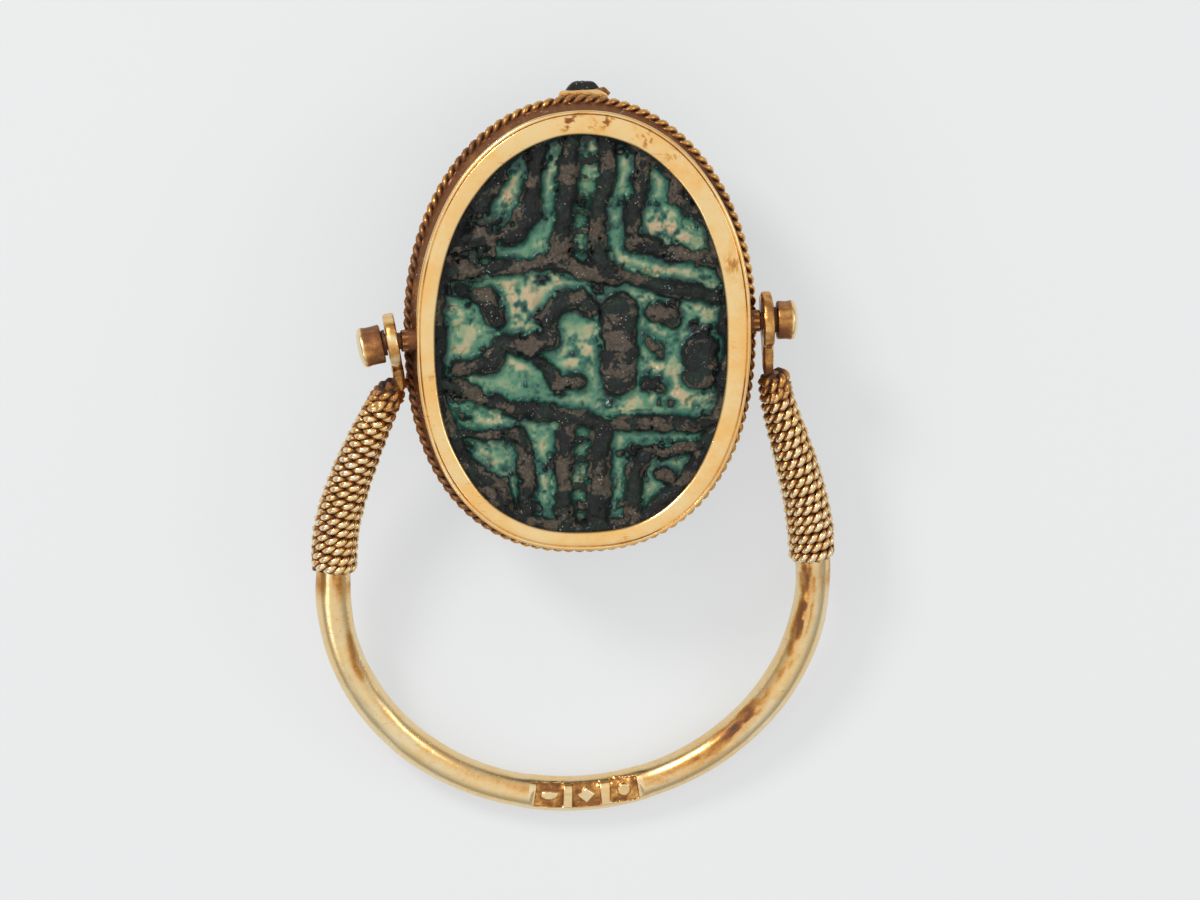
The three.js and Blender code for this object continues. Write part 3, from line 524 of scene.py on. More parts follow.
def carvedSurface(x, y, inward):
    c = carving
    wx = x + c["wander"] * (cloud(x, y, 0.9, 5, 4) * 0.7 + lumps(x, y, 0, 0.22, 61) * 0.3)
    wy = y + c["wander"] * (cloud(x, y, 0.9, 35, 4) * 0.7 + lumps(x, y, 0, 0.22, 62) * 0.3)
    into = np.full(x.shape, -99.0)
    for line in marks:
        into = np.maximum(into, markDistance(wx, wy, line))
    dirtAndShadow = patches(x, y, dirtAndShadowSpots)
    into = into + 0.02 + 0.06 * cloud(x, y, 0.42, 19)
    into = into - 0.22 * smooth(0.55, 0.85, cloud(x, y, 0.55, 24)) * smooth(0.35, 0.0, into)  # bites
    crust = 0.3 * (cloud(x, y, 0.5, 44) + 0.9 * dirtAndShadow - 1.1)  # lumps of old dirt between the marks
    into = np.maximum(into, np.minimum(crust, 0.1))
    into = np.maximum(into, c["border"] + 0.16 * cloud(x, y, 1.1, 9) - inward)
    raised = smooth(-c["slope"], c["slope"], into)
    low = 0 * x  # bars between the stems, lower than the marks
    for by, half in bridges:
        shift = 0.05 * by if by > 0 else 0.02 * by
        bar = markDistance(wx, wy, [(-0.5 + shift, by, half), (0.5 + shift, by - 0.08, half * 0.8)])
        low = np.maximum(low, smooth(-0.1, 0.1, bar + 0.1 * cloud(x, y, 0.3, 50)))
    height = np.maximum(raised, 0.6 * low)
    worn = np.clip(0.5 + 0.6 * cloud(x, y, 0.9, 12), 0, 1)
    depth = oval["baseLevel"] + c["rounding"] + oval["carvingDepth"] * (1 - height)
    depth -= raised * c["rounding"] * smooth(0.0, 0.36, into)
    depth += raised * (0.07 * worn + 0.03 * cloud(x, y, 0.26, 14))
    depth += (1 - raised) * (0.05 * cloud(x, y, 0.8, 15) - 0.04 * smooth(0.2, 0.9, -into))
    chip = smooth(0.45, 0.62, cloud(x, y, 0.42, 27)) * smooth(0.2, 0.6, lumps(x, y, 0, 1.4, 25) + 0.4)
    depth += chip * 0.08
    out = np.maximum(-into, 0)
    # painted shade beside the marks, strongest at their foot, partly glaze pooling
    hollow = np.exp(-(out / 0.25) ** 1.4) * (0.85 + 0.3 * cloud(x, y, 0.9, 26))
    broad = 0.5 + 0.5 * cloud(x, y, 1.2, 29)
    rub = smooth(-0.2, 0.5, cloud(x, y, 0.7, 47))
    # painted highlight: a band of bare stone colour along each mark's edge, partly edge wear
    edgeWearAndHighlight = 0.75 * smooth(-0.04, 0.04, into) * smooth(0.17, 0.07, into) * rub
    bare = np.clip(patches(x, y, bared) + 0.15 * broad, 0, 1) * smooth(-0.02, 0.1, into)
    bare = np.maximum(bare, edgeWearAndHighlight)
    fields = {
        "raised": np.maximum(raised, 0.5 * low + 0.12 * low * broad),
        "hollow": hollow,
        # painted shadow of the rim: the ground darkens near the outline, added to the dirt spots
        "soil": np.clip(dirtAndShadow + 0.6 * smooth(0.8, 0.1, inward) + 0.2 * broad - 0.05, 0, 1.2),
        # painted light that rounds each panel: paler away from the marks, on top of tan glaze patches
        "pale": np.clip((patches(x, y, paled) + 0.25 + 0.55 * broad) * smooth(0.08, 0.5, out), 0, 1),
        "bare": bare,
    }
    return np.maximum(depth, oval["baseLevel"] + 0.004), fields


def buildCarvedBase():
    n = carving["cells"] + 1
    step = np.linspace(-1, 1, n)
    u, v = np.meshgrid(step, step)
    discX, discY = u * np.sqrt(1 - v * v / 2), v * np.sqrt(1 - u * u / 2)  # the square drawn into a disc
    reach = np.hypot(discX, discY)
    angle = np.arctan2(discY, discX)
    edgeX, edgeY = ovalAt(0, np.arctan2(np.sin(angle), np.cos(angle)))
    x, y = reach * edgeX, reach * edgeY
    inward = (1 - reach) * np.hypot(edgeX, edgeY) * 0.97
    depth, fields = carvedSurface(x, y, inward)
    shape = Shape()
    faces = gridFaces(n, n, loopColumns=False).tolist()
    last = n - 1
    rim = ([i for i in range(last)] + [r * n + last for r in range(last)]
           + [last * n + last - i for i in range(last)] + [(last - r) * n for r in range(last)])
    ex, ey = x.ravel()[rim], y.ravel()[rim]
    back = oval["slabBack"]
    levels = [(1, 0.8), (1, 1.4), (1, 1.98), (0.99, back), (0.85, back), (0.4, back)]
    rings = np.array([np.column_stack([ex * k, ey * k, np.full(len(ex), d)]) for k, d in levels])
    top = np.stack([x, y, depth], -1).reshape(-1, 3)
    count = len(rim)
    for r in range(len(levels)):
        base = len(top) + (r - 1) * count
        before = rim if r == 0 else [base + i for i in range(count)]
        start = len(top) + r * count
        for i in range(count):
            j = (i + 1) % count
            faces.append([before[i], before[j], start + j, start + i])
    faces.append([len(top) + (len(levels) - 1) * count + i for i in range(count)])
    edge = np.full(count * len(levels), 0.6)
    values = {key: np.concatenate([v.ravel(), edge]) for key, v in fields.items()}
    shape.add(np.concatenate([top, rings.reshape(-1, 3)]), faces, **values)
    return makePiece("carvedBase", shape, fromHead, "head", ["scarab"], glazedStone, 75)


carvedBase = buildCarvedBase()


# The beetle: back, legs and head, fused into one skin

beetle = {
    "shellInset": 0.5,
    "shellFront": 5.82,
    "seamAcross": 1.94,
    "domeOverFlat": 0.16,
    "bellyInset": 1.15,
    "headShift": 0.2,
    "headReach": 9.53,
    "grain": 0.085,  # size of the cells that fuse the parts
    "legs": ((62, 47, 8), (22, 3, 8), (-20, -38, 9), (-50, -62, 7)),  # angles at slab and back, half span
    "headOutline": ((2.07, 5.0), (2.3, 6.15), (2.16, 6.9), (1.68, 7.55), (1.26, 8.25),
                    (0.9, 8.8), (0.74, 9.1), (0.63, 9.28), (0.5, 9.42), (0.34, 9.5)),
}


def shellSkin():
    tail = -(oval["halfLength"] - beetle["shellInset"])
    front = beetle["shellFront"]
    y = np.linspace(tail + 0.02, front, 150)[:, None]
    s = np.linspace(-1, 1, 121)[None, :]
    s = np.sin(s * math.pi / 2) * 0.5 + s * 0.5
    half = np.maximum(0.35, (oval["halfWidth"] - beetle["shellInset"]) * (
        1 - np.minimum(0.999, np.abs(y / tail)) ** np.where(y < 0, 2.36, 2.06)) ** (1 / 2.2))
    toEnd = np.clip(np.where(y < 0, y / tail, y / (front * 1.3)), 0, 1)
    crown = (1 - toEnd ** 2.3) ** 0.52
    cross = (1 - np.abs(s) ** 2.2) ** 0.52
    room = oval["restHeight"] - oval["shellEdge"] - 0.2 + beetle["domeOverFlat"]
    depth = oval["shellEdge"] + 0.2 + room * crown * cross
    x = s * half
    bow = y - 0.7 * (s * s - 0.3)
    wing = smooth(beetle["seamAcross"] + 0.1, beetle["seamAcross"] - 0.1, bow)
    groove = 0.3 * np.exp(-((bow - beetle["seamAcross"]) / 0.12) ** 2)
    groove = groove + 0.3 * wing * np.exp(-(x / 0.12) ** 2)
    rib = (np.abs(x) % 0.86) - 0.43
    groove = groove + 0.07 * wing * np.exp(-(rib / 0.09) ** 2) * smooth(0.5, 1.0, np.abs(x))
    rim = np.abs(np.abs(s) - 0.9)
    groove = groove + 0.09 * np.exp(-(rim / 0.035) ** 2)
    depth = depth - groove + 0.03 * lumps(x, y, 0, 1.1, 41) + 0.015 * lumps(x, y, 0, 0.4, 42)
    depth = depth - 0.5 * smooth(front - 0.25, front, y)
    depth = np.minimum(depth, oval["restHeight"] - 0.002)
    top = np.stack(np.broadcast_arrays(x, y, depth), -1)
    foot = top[:, ::-1].copy()
    foot[..., 2] = oval["shellEdge"]
    return np.concatenate([top, foot], 1)


def legSkin(side, plateAngle, shellAngle, halfSpan):
    rings = []
    for t in np.linspace(-0.08, 1.08, 12):
        depth = oval["slabBack"] - 0.1 + t * (oval["shellEdge"] - oval["slabBack"] + 0.2)
        angle = math.radians(plateAngle + (shellAngle - plateAngle) * t)
        inset = 0.34 + 0.25 * max(0, t - 0.55)
        ring = []
        for k in range(14):
            a = math.pi * k / 13 - math.pi / 2
            share = math.sin(a)
            bulge = inset + 0.22 * (1 - math.cos(a)) + 0.035 * math.cos(a * 5)
            ring.append((angle + share * math.radians(halfSpan), bulge))
        ring += [(angle + math.radians(halfSpan), 1.4), (angle - math.radians(halfSpan), 1.4)]
        points = []
        for a, within in ring:
            px, py = ovalAt(-within, a)
            points.append((side * px, py, depth))
        rings.append(points)
    return np.array(rings)


def headSkin():
    halves, ys = np.array(beetle["headOutline"]).T
    rings = []
    for y in np.linspace(ys[0], ys[-1], 60):
        half = np.interp(y, ys, halves)
        share = (y - ys[0]) / (ys[-1] - ys[0])
        back = oval["shellEdge"] + 1.6 - 1.12 * share ** 0.8
        front = 1.95 if y < 7.75 else 2.65
        front += 0.16 * smooth(9.2, 9.5, y)
        back -= 0.2 * smooth(9.25, 9.5, y)
        shift = beetle["headShift"] * min(1, max(0, (y - 5.8) / 2))
        turn = np.linspace(0, math.pi, 31)
        px = np.cos(turn) * half
        rise = np.sin(turn) ** 0.55
        eye = 0.22 * np.exp(-((y - 6.5) / 0.42) ** 2) * np.exp(-((np.abs(px) - 1.55) / 0.32) ** 2)
        ridge = 0.1 * np.exp(-(px / 0.16) ** 2) * smooth(6.3, 7.2, y) * smooth(9.2, 8.6, y)
        brow = -0.13 * np.exp(-((y - 7.35 - 0.25 * np.abs(px)) / 0.08) ** 2)
        depth = front + (back - front) * rise + eye + ridge + brow
        upper = np.stack([px + shift, np.full(31, y), depth], -1)
        lower = np.stack([px[::-1] + shift, np.full(31, y), np.full(31, front)], -1)
        rings.append(np.concatenate([upper, lower[1:-1]]))
    return np.array(rings)


def teethCuts():  # notches between the teeth of the head's edge
    cuts = []
    for share in (-0.72, -0.24, 0.24, 0.72):
        y = beetle["headReach"] + 0.04 - 0.3 * share * share
        x = share * 0.5 + beetle["headShift"]
        path = [(x, y, 3.1), (x, y, 3.3), (x, y, 3.7), (x, y, 4.4)]
        cuts.append(tube(path, [0.05, 0.07, 0.11, 0.13], 12, up=(0, 1, 0)))
    return cuts


def meshObject(name, rings, looped=False):
    shape = Shape()
    shape.skin(rings, looped=looped)
    mesh = bpy.data.meshes.new(name)
    mesh.from_pydata(np.concatenate(shape.points).tolist(), [], shape.faces)
    fixNormals(mesh)
    made = bpy.data.objects.new(name, mesh)
    bpy.context.collection.objects.link(made)
    return made


def bakedMesh(source):
    graph = bpy.context.evaluated_depsgraph_get()
    graph.update()
    return bpy.data.meshes.new_from_object(source.evaluated_get(graph))


def discard(objects):
    for o in objects:
        bpy.data.objects.remove(o, do_unlink=True)


def buildBeetle():
    parts = [shellSkin(), headSkin()]
    for plate, shell, span in beetle["legs"]:
        parts += [legSkin(1, plate, shell, span), legSkin(-1, plate, shell, span)]
    angle = np.arange(96) / 96 * tau
    bx, by = ovalAt(-beetle["bellyInset"], angle)
    belly = [np.stack([bx, by, np.full(96, d)], -1) for d in (oval["slabBack"] - 0.15, 2.7, 3.2, 3.7)]
    parts.append(np.array(belly))
    solids = [meshObject("beetlePart", rings) for rings in parts]
    whole = solids[0]
    bpy.ops.object.select_all(action="DESELECT")
    for o in solids:
        o.select_set(True)
    bpy.context.view_layer.objects.active = whole
    bpy.ops.object.join()
    fuse = whole.modifiers.new("fuse", "REMESH")
    fuse.mode, fuse.voxel_size = "VOXEL", beetle["grain"]
    cutters = [meshObject("toothCut", rings) for rings in teethCuts()]
    for cutter in cutters:
        notch = whole.modifiers.new("notch", "BOOLEAN")
        notch.object, notch.operation, notch.solver = cutter, "DIFFERENCE", "EXACT"
    soften = whole.modifiers.new("soften", "SMOOTH")
    soften.factor, soften.iterations = 0.5, 2
    mesh = bakedMesh(whole)
    discard([whole] + cutters)
    points = np.array([v.co for v in mesh.vertices])
    normals = np.array([v.normal for v in mesh.vertices])
    x, y, d = points.T
    rub = 0.022 * lumps(x, y, d, 0.5, 51) + 0.012 * lumps(x, y, d, 0.2, 52)
    moved = points + normals * rub[:, None]
    moved[:, 2] = np.clip(moved[:, 2], None, oval["restHeight"] - 0.001)
    keepClear = moved[:, 2] < 2.75
    held = np.minimum(moved[:, 1], 8.0)
    moved[:, 1] = np.where(keepClear & (moved[:, 2] < 2.6) & (d < 2.6), held, moved[:, 1])
    shape = Shape()
    faces = [list(p.vertices) for p in mesh.polygons]
    mx, my, md = moved.T
    high = smooth(oval["shellEdge"] + 0.6, oval["restHeight"] - 0.2, md)
    face = smooth(6.6, 8.0, my)
    broad = 0.5 + 0.5 * lumps(mx, my, md, 1.3, 53)
    bow = my - 0.7 * ((mx / 5.0) ** 2 - 0.3)
    seam = np.exp(-((bow - beetle["seamAcross"]) / 0.2) ** 2)
    parting = np.exp(-(mx / 0.18) ** 2) * (bow < beetle["seamAcross"])
    seam = np.maximum(seam, parting) * (md > oval["shellEdge"] + 0.3)
    bare = 0.15 + 0.45 * high * broad + 0.5 * face - 0.8 * smooth(8.4, 8.9, my)
    shape.add(moved, faces, raised=np.clip(0.05 + 0.42 * high * broad + face, 0, 1),
              # painted shade in the grooves and near the slab, partly glaze pooling
              hollow=np.clip(0.5 * smooth(3.6, 2.6, md) + 0.15 * (1 - high) + 0.9 * seam, 0, 1),
              soil=np.clip(0.34 + 0.5 * (1 - high) + 0.3 * broad + 0.3 * face, 0, 1),
              bare=np.clip(bare, 0, 1), pale=0.7 * broad * high * (1 - face))
    bpy.data.meshes.remove(mesh)
    return makePiece("beetleBack", shape, fromHead, "head", ["scarab"], glazedStone, 70)


beetleBack = buildBeetle()


# The bezel

bezel = {
    "wallInside": 0.04,
    "wallOutside": 0.52,
    "rimOutside": 0.65,
    "rimLap": 0.2,
    "rimThickness": 0.3,
    "depth": 2.38,
    "flange": 0.22,
    "flangeReach": 0.3,
    "windowShift": (-0.08, -0.14),
    "sectors": 420,
    "rubbed": [  # worn, pitted places on the rim: place, radius and strength
        (-0.5, 8.25, 0.45, 1.0), (0.9, 8.3, 0.4, 0.8), (0.2, 8.2, 0.5, 0.5), (2.6, 7.6, 0.7, 0.6),
        (3.6, 6.8, 0.5, 0.4), (5.9, 2.6, 0.4, 0.5), (-5.9, -1.9, 0.4, 0.5), (1.5, -8.2, 0.5, 0.3),
    ],
    "tongueShift": 0.16,
    "tongueReach": 9.26,
    "tongueHalfWidth": 0.98,
    "tongueThickness": 0.24,
}
sides = [
    {"name": "left", "sign": -1, "eyeReach": 7.47, "eyeThickness": 0.45, "eyeTurn": 7.5, "strapDirt": 0.25,
     "capTurn": 10, "capLength": 1.0, "socketReach": 0.14, "stalkLength": 1.5,
     "armTop": (-7.45, -2.17), "armSplay": 24.6, "armBows": (5.97, 2.03),
     "wrapFootGap": 0.62, "wrapTurns": 21},
    {"name": "right", "sign": 1, "eyeReach": 7.33, "eyeThickness": 0.42, "eyeTurn": 0, "strapDirt": 0.36,
     "capTurn": -2.6, "capLength": 0.82, "socketReach": 0.06, "stalkLength": 1.72,
     "armTop": (7.64, -1.89), "armSplay": 2, "armBows": (1.9, 4.07),
     "wrapFootGap": 0.88, "wrapTurns": 20},
]


def bezelRing(shape):
    b = bezel
    corners = [  # offset, depth, share of the window's shift, grime
        (-b["rimLap"], 0.11, 1, 0.2), (-b["rimLap"] + 0.07, 0.04, 1, 0), (0.0, 0.014, 0.85, 0),
        (0.1, 0.002, 0.7, 0), (0.2, 0, 0.5, 0), (0.3, 0.008, 0.3, 0), (0.4, 0.026, 0.1, 0),
        (0.47, 0.045, 0, 0.15), (0.485, 0.07, 0, 0.55), (0.505, 0.07, 0, 0.55), (0.52, 0.03, 0, 0.15),
        (b["rimOutside"] - 0.06, 0.03, 0, 0), (b["rimOutside"], 0.1, 0, 0.1),
        (b["rimOutside"] - 0.01, b["rimThickness"] - 0.04, 0, 0.4),
        (b["wallOutside"] + 0.02, b["rimThickness"], 0, 0.85),
        (b["wallOutside"], b["rimThickness"] + 0.08, 0, 0.7), (b["wallOutside"], 0.9, 0, 0.52),
        (b["wallOutside"], 1.5, 0, 0.55),
        (b["wallOutside"], b["depth"] - b["flange"] - 0.06, 0, 0.75),
        (b["wallOutside"] + 0.05, b["depth"] - b["flange"], 0, 0.75),
        (b["wallOutside"] + b["flangeReach"], b["depth"] - b["flange"], 0, 0.7),
        (b["wallOutside"] + b["flangeReach"], b["depth"], 0, 0.5), (0.3, b["depth"], 0, 0.3),
        (-0.08, b["depth"], 0, 0.2), (-0.13, b["depth"] - 0.06, 0, 0.4),
        (-0.13, 2.08, 0, 0.9), (b["wallInside"], 2.08, 0, 1), (b["wallInside"], b["rimThickness"], 0, 1),
        (-b["rimLap"], b["rimThickness"], 1, 0.6),
    ]
    profile = rounded(corners, 0.03, 2)
    n = b["sectors"]
    angle = (np.arange(n) / n * tau)[:, None]
    offset, depth, shift, grime = (profile[None, :, i] for i in range(4))
    wave = 0.02 * np.sin(3 * angle + 1.0) + 0.014 * np.sin(7 * angle) + 0.01 * np.sin(13 * angle + 2)
    outer = smooth(0.55, 0.64, offset) * smooth(0.5, 0.2, depth)
    inner = smooth(0.0, -0.15, offset) * smooth(0.5, 0.2, depth)
    x, y = ovalAt(offset + wave * (outer * 0.55 - inner * 0.7), np.broadcast_to(angle, (n, profile.shape[0])))
    x = x + b["windowShift"][0] * shift
    y = y + b["windowShift"][1] * shift
    dent = 0.012 * lumps(x, y, 0, 1.3, 61) + 0.006 * lumps(x, y, 0, 0.5, 62)
    top = smooth(0.12, 0.0, depth)
    depth = depth + np.maximum(dent + 0.008, 0) * top
    wallDent = 0.012 * lumps(x, y, depth * 2, 0.8, 63)
    wallDent = wallDent * smooth(0.35, 0.5, depth) * (offset > 0.45)
    x, y = x * (1 + wallDent / 7), y * (1 + wallDent / 8)
    left = 0.14 * smooth(0.2, 1, -x / 6.5)  # dirt lies heavier on the left of the wall
    groove = smooth(0.46, 0.48, offset) * smooth(0.53, 0.51, offset) * smooth(0.2, 0.0, depth)
    grime = grime * (1 - groove * smooth(7.6, 5.0, y) * smooth(-0.5, 0.3, lumps(x, y, 0, 1.2, 64)) * 0.9)
    rubbed = patches(x, y, b["rubbed"]) * smooth(0.1, 0.5, cloud(x, y, 0.22, 66)) * top
    tone = 0.09 * smooth(0.5, 5.5, x) * top  # the right of the rim is a deeper gold
    shape.skin(np.stack([x, y, depth + 0.03 * rubbed], -1), looped=True,
               grime=np.clip(grime + tone + left * smooth(0.4, 1, grime) + 0.75 * rubbed, 0, 1.1))


def packedDirt(shape):  # fills the corner between the wall and the twisted wire
    n = 720
    angle = np.arange(n) / n * tau
    rings = []
    for offset, depth in ((0.5, 1.25), (0.54, 1.36), (0.6, 1.5), (0.68, 1.6), (0.76, 1.66), (0.8, 1.8)):
        x, y = ovalAt(offset, angle)
        lift = 0.1 * cloud(x, y, 0.7, 67) + 0.05 * cloud(x * 3, y * 3, 0.5, 68) - 0.05
        ridge = smooth(0.5, 0.6, offset) * smooth(0.8, 0.72, offset)
        rings.append(np.stack([x, y, depth - lift * ridge + 0 * x], -1))
    rings = np.array(rings).transpose(1, 0, 2)
    spots = cloud(rings[..., 0], rings[..., 1], 0.5, 69)
    shape.skin(rings, looped=True, grime=np.clip(0.66 + 0.16 * spots, 0.4, 0.95))


def tonguePlate(shape):
    b = bezel
    turn = np.linspace(0, math.pi, 48)
    across = np.sign(np.cos(turn)) * np.abs(np.cos(turn)) ** 0.55
    out = b["tongueReach"] - 0.4 * (1 - np.sin(turn) ** 0.55) - 0.03 * np.sin(4 * turn + 0.5)
    outline = np.column_stack([b["tongueHalfWidth"] * across, out])
    outline = np.concatenate([outline, [(-b["tongueHalfWidth"], 8.3), (b["tongueHalfWidth"], 8.3)]])
    outline = outline + np.array([b["tongueShift"], 0])
    middle = np.array([b["tongueShift"], 8.8])
    low, high = b["depth"] - b["flange"] / 2, b["depth"] + b["tongueThickness"]
    rings = []
    levels = ((0.5, low), (0.05, low), (0.0, low + 0.06), (0.0, high - 0.07), (0.05, high), (0.5, high))
    for inset, depth in levels:
        ring = middle + (outline - middle) * (1 - inset)
        rings.append(np.column_stack([ring, np.full(len(ring), depth)]))
    shape.skin(np.array(rings), grime=0.16)
    knots = np.array([(0.5, 9.2, 2.42), (0.8, 9.26, 2.4), (1.0, 9.06, 2.44)])  # a rolled corner
    knots[:, 0] += b["tongueShift"]
    t = np.linspace(0, 2, 13)
    line = np.column_stack([np.interp(t, range(3), knots[:, i]) for i in range(3)])
    shape.skin(tube(line, 0.1, 12), grime=0.62)


def socket(shape, side):
    start, end = oval["halfWidth"] + 0.3, oval["halfWidth"] + 1.05 + side["socketReach"]
    turn = np.arange(72) / 72 * tau
    flute = 0.44 - 0.05 * (0.5 - 0.5 * np.cos(turn * 9)) ** 0.7
    direction = hinge["slope"] + (math.pi if side["sign"] < 0 else 0)
    axis = np.array([math.cos(direction), math.sin(direction), 0])
    across = np.array([-axis[1], axis[0], 0])
    centre = np.array([0, hinge["offset"], hinge["depth"]])
    rings, grimes = [], []
    packed = end - 0.22
    steps = [(start, 1.04), (packed - 0.12, 1.02), (packed, 1), (end - 0.05, 1), (end, 0.9), (end, 0.85),
             (end - 0.3, 0.84), (start, 0.84)]
    groove = 0.5 - 0.5 * np.cos(turn * 9)
    for i, (along, share) in enumerate(steps):
        radius, dirt = np.full(72, 0.37), np.full(72, 0.9)  # the bore
        if i < 5:
            radius, dirt = flute * share, 0.4 + 0.4 * groove
        if i < 2:  # flutes filled with dirt
            radius, dirt = np.full(72, 0.43 * share) + 0.012 * np.sin(turn * 5 + i), np.full(72, 0.7)
        ring = centre + axis * along + np.cos(turn)[:, None] * across * radius[:, None] \
            + np.sin(turn)[:, None] * np.array([0, 0, 1]) * radius[:, None]
        rings.append(ring)
        grimes.append(dirt)
    shape.skin(np.array(rings), looped=True, grime=np.array(grimes))


def buildBezel():
    shape = Shape()
    bezelRing(shape)
    packedDirt(shape)
    tonguePlate(shape)
    for side in sides:
        socket(shape, side)
    return makePiece("ovalBezel", shape, fromHead, "head", ["bezel"], goldBezel, 35)


ovalBezel = buildBezel()


# The twisted border wire

border = {
    "offset": 0.8,
    "depth": 1.88,
    "diameter": 0.5,
    "beads": 118,
    "stepsPerBead": 7,
    "strandSides": 8,
}


def twistedStrand(path, outward, up, spin, reach):  # one of two strands round a path
    strand = path + reach * (np.cos(spin)[:, None] * outward + np.sin(spin)[:, None] * up)
    radial = unit(strand - path)
    return strand, radial


def ringsAlong(path, heading, radial, radius, sides):
    side = unit(np.cross(heading, radial))
    over = np.cross(side, heading)
    a = np.arange(sides) / sides * tau
    return path[:, None] + radius * (np.cos(a)[None, :, None] * over[:, None]
                                     + np.sin(a)[None, :, None] * side[:, None])


def buildBorder():
    shape = Shape()
    n = border["beads"] * border["stepsPerBead"]
    dense = np.linspace(0, tau, 6001)
    dx, dy = ovalAt(border["offset"], dense)
    run = np.concatenate([[0], np.cumsum(np.hypot(np.diff(dx), np.diff(dy)))])
    even = np.interp(np.arange(n) / n * run[-1], run, dense)
    x, y = ovalAt(border["offset"], even)
    centre = np.column_stack([x, y, np.full(n, border["depth"])])
    along = unit(np.roll(centre, -1, 0) - np.roll(centre, 1, 0))
    outward = np.column_stack([along[:, 1], -along[:, 0], np.zeros(n)])
    towards = np.array([0, 0, -1.0])
    radius = border["diameter"] / 4 * 1.04
    reach = border["diameter"] / 2 - radius
    phase = np.arange(n) / n * border["beads"] / 2 * tau
    blur = smooth(0.0, 0.9, lumps(x, y, 0, 2.4, 65) + 0.35)[:, None]  # dirt fills the twist in places
    for k in range(2):
        strand, radial = twistedStrand(centre, outward, towards, phase + k * math.pi, reach)
        heading = unit(np.roll(strand, -1, 0) - np.roll(strand, 1, 0))
        ring = ringsAlong(strand, heading, radial, radius, border["strandSides"])
        away = np.linalg.norm(ring - centre[:, None], axis=-1)
        inward = np.einsum("ijk,ik->ij", ring - centre[:, None], outward)
        heavy = 0.16 * smooth(0.0, 5.0, -x) - 0.08 * smooth(2.0, 6.0, x)  # more dirt on the left
        grime = 0.1 + 0.6 * smooth(0.24, 0.13, away) + 0.42 * smooth(0.14, -0.02, inward)
        grime = grime + 0.22 * blur + heavy[:, None]
        shape.skin(ring, looped=True, grime=np.clip(grime, 0, 1.05))
    return makePiece("twistedBorder", shape, fromHead, "head", ["border_wire"], goldRope, 70)


twistedBorder = buildBorder()


# The hoop, one wire with a flattened eye at each end

hoop = {
    "wire": 0.715,
    "halfWidth": 9.6,
    "halfHeight": 9.26,
    "drop": 10.79,
    "shift": -0.13,
    "coreTop": 0.22,
    "coreFoot": 0.57,
    "eyeRadius": 1.18,
    "stalkHalfWidth": 0.36,
    "eyeHole": 0.36,
    "stampPlaces": (-0.87, 0.65, 2.2),
    "stampSize": (1.14, 0.94),
    "stampSink": 0.11,
    "stampRaise": 0.12,
    "stampTilts": (0.03, 0.0, -0.12),
    "flatDepth": 0.13,
    "flatLength": 4.5,
    "darkReflectionAt": 62,  # degrees round the wire from its inner side, where a painted dark reflection runs with speckled tarnish
    # angle round the wire of a painted dark reflection line along the flattened part
    "flatReflectionLineAt": 40,
}
hingeHeight = oval["restHeight"] - hinge["depth"]
hoopReach = hoop["drop"] + hoop["halfHeight"]
hoop["lean"] = (math.asin(hingeHeight / math.hypot(hoopReach, hoop["wire"]))
                - math.atan(hoop["wire"] / hoopReach))
wrap = {
    "wire": 0.5,
    "bulge": 0.07,  # the sleeve of wire swells half way down
    "sideRoom": 10.43,
    "room": 0.36,
    "gap": 0.03,
    "twist": 0.69,
    "turnedTo": 1,  # hand of the twist
    "start": 0.9,
    "stepsPerTwist": 10,
    "sides": 6,
}


def eyeCentre(side):
    reach = side["sign"] * side["eyeReach"]
    return np.array([reach * math.cos(hinge["slope"]), reach * math.sin(hinge["slope"]), 0])


def armPath(side, steps=400):
    splay = math.radians(side["armSplay"])
    top = np.array([*side["armTop"], 0])
    foot = np.array([hoop["shift"] + side["sign"] * hoop["halfWidth"], -hoop["drop"], 0])
    away = np.array([side["sign"] * math.sin(splay), -math.cos(splay), 0])
    p = [top, top + away * side["armBows"][0], foot + np.array([0, side["armBows"][1], 0]), foot]
    t = np.linspace(0, 1, steps)[:, None]
    path = (1 - t) ** 3 * p[0] + 3 * (1 - t) ** 2 * t * p[1] + 3 * (1 - t) * t * t * p[2] + t ** 3 * p[3]
    run = np.concatenate([[0], np.cumsum(np.linalg.norm(np.diff(path, axis=0), axis=1))])
    even = np.linspace(0, run[-1], steps)
    return np.column_stack([np.interp(even, run, path[:, i]) for i in range(3)]), run[-1]


def wireSection():  # angles round the wire, closer together on the upper side
    top = np.linspace(math.radians(28), math.radians(152), 56, endpoint=False)
    under = np.linspace(math.radians(152), math.radians(388), 34, endpoint=False)
    return np.concatenate([top, under])


def hoopWirePath():
    left, leftLength = armPath(sides[0], 110)
    right, rightLength = armPath(sides[1], 110)
    angle = np.concatenate([np.linspace(180, 258, 90, endpoint=False),
                            np.linspace(258, 292, 190, endpoint=False), np.linspace(292, 360, 80)])
    a = np.radians(angle)
    bottom = np.column_stack([hoop["shift"] + hoop["halfWidth"] * np.cos(a),
                              -hoop["drop"] + hoop["halfHeight"] * np.sin(a), 0 * a])
    radius = []
    for side, length in ((sides[0], leftLength), (sides[1], rightLength)):
        walked = np.linspace(0, length, 110)
        end = length - side["wrapFootGap"]
        core = hoop["coreTop"] + (hoop["coreFoot"] - hoop["coreTop"]) * np.clip(walked / end, 0, 1)
        radius.append(np.where(walked < end - 0.24, core, hoop["wire"]))
    path = np.concatenate([left[:-1], bottom, right[::-1][1:]])
    radii = np.concatenate([radius[0][:-1], np.full(len(bottom), hoop["wire"]), radius[1][::-1][1:]])
    return path, radii, (len(left) - 1, len(bottom))


def stampMark(i, u, v):  # share of raised mark in a struck square: bar, lozenge or disc
    if i == 0:
        return smooth(1.15, 0.8, np.hypot(u / 0.36, v / 0.19))
    if i == 1:
        return smooth(0.4, 0.3, np.abs(u) + np.abs(v))
    return smooth(0.3, 0.22, np.hypot(u, v))


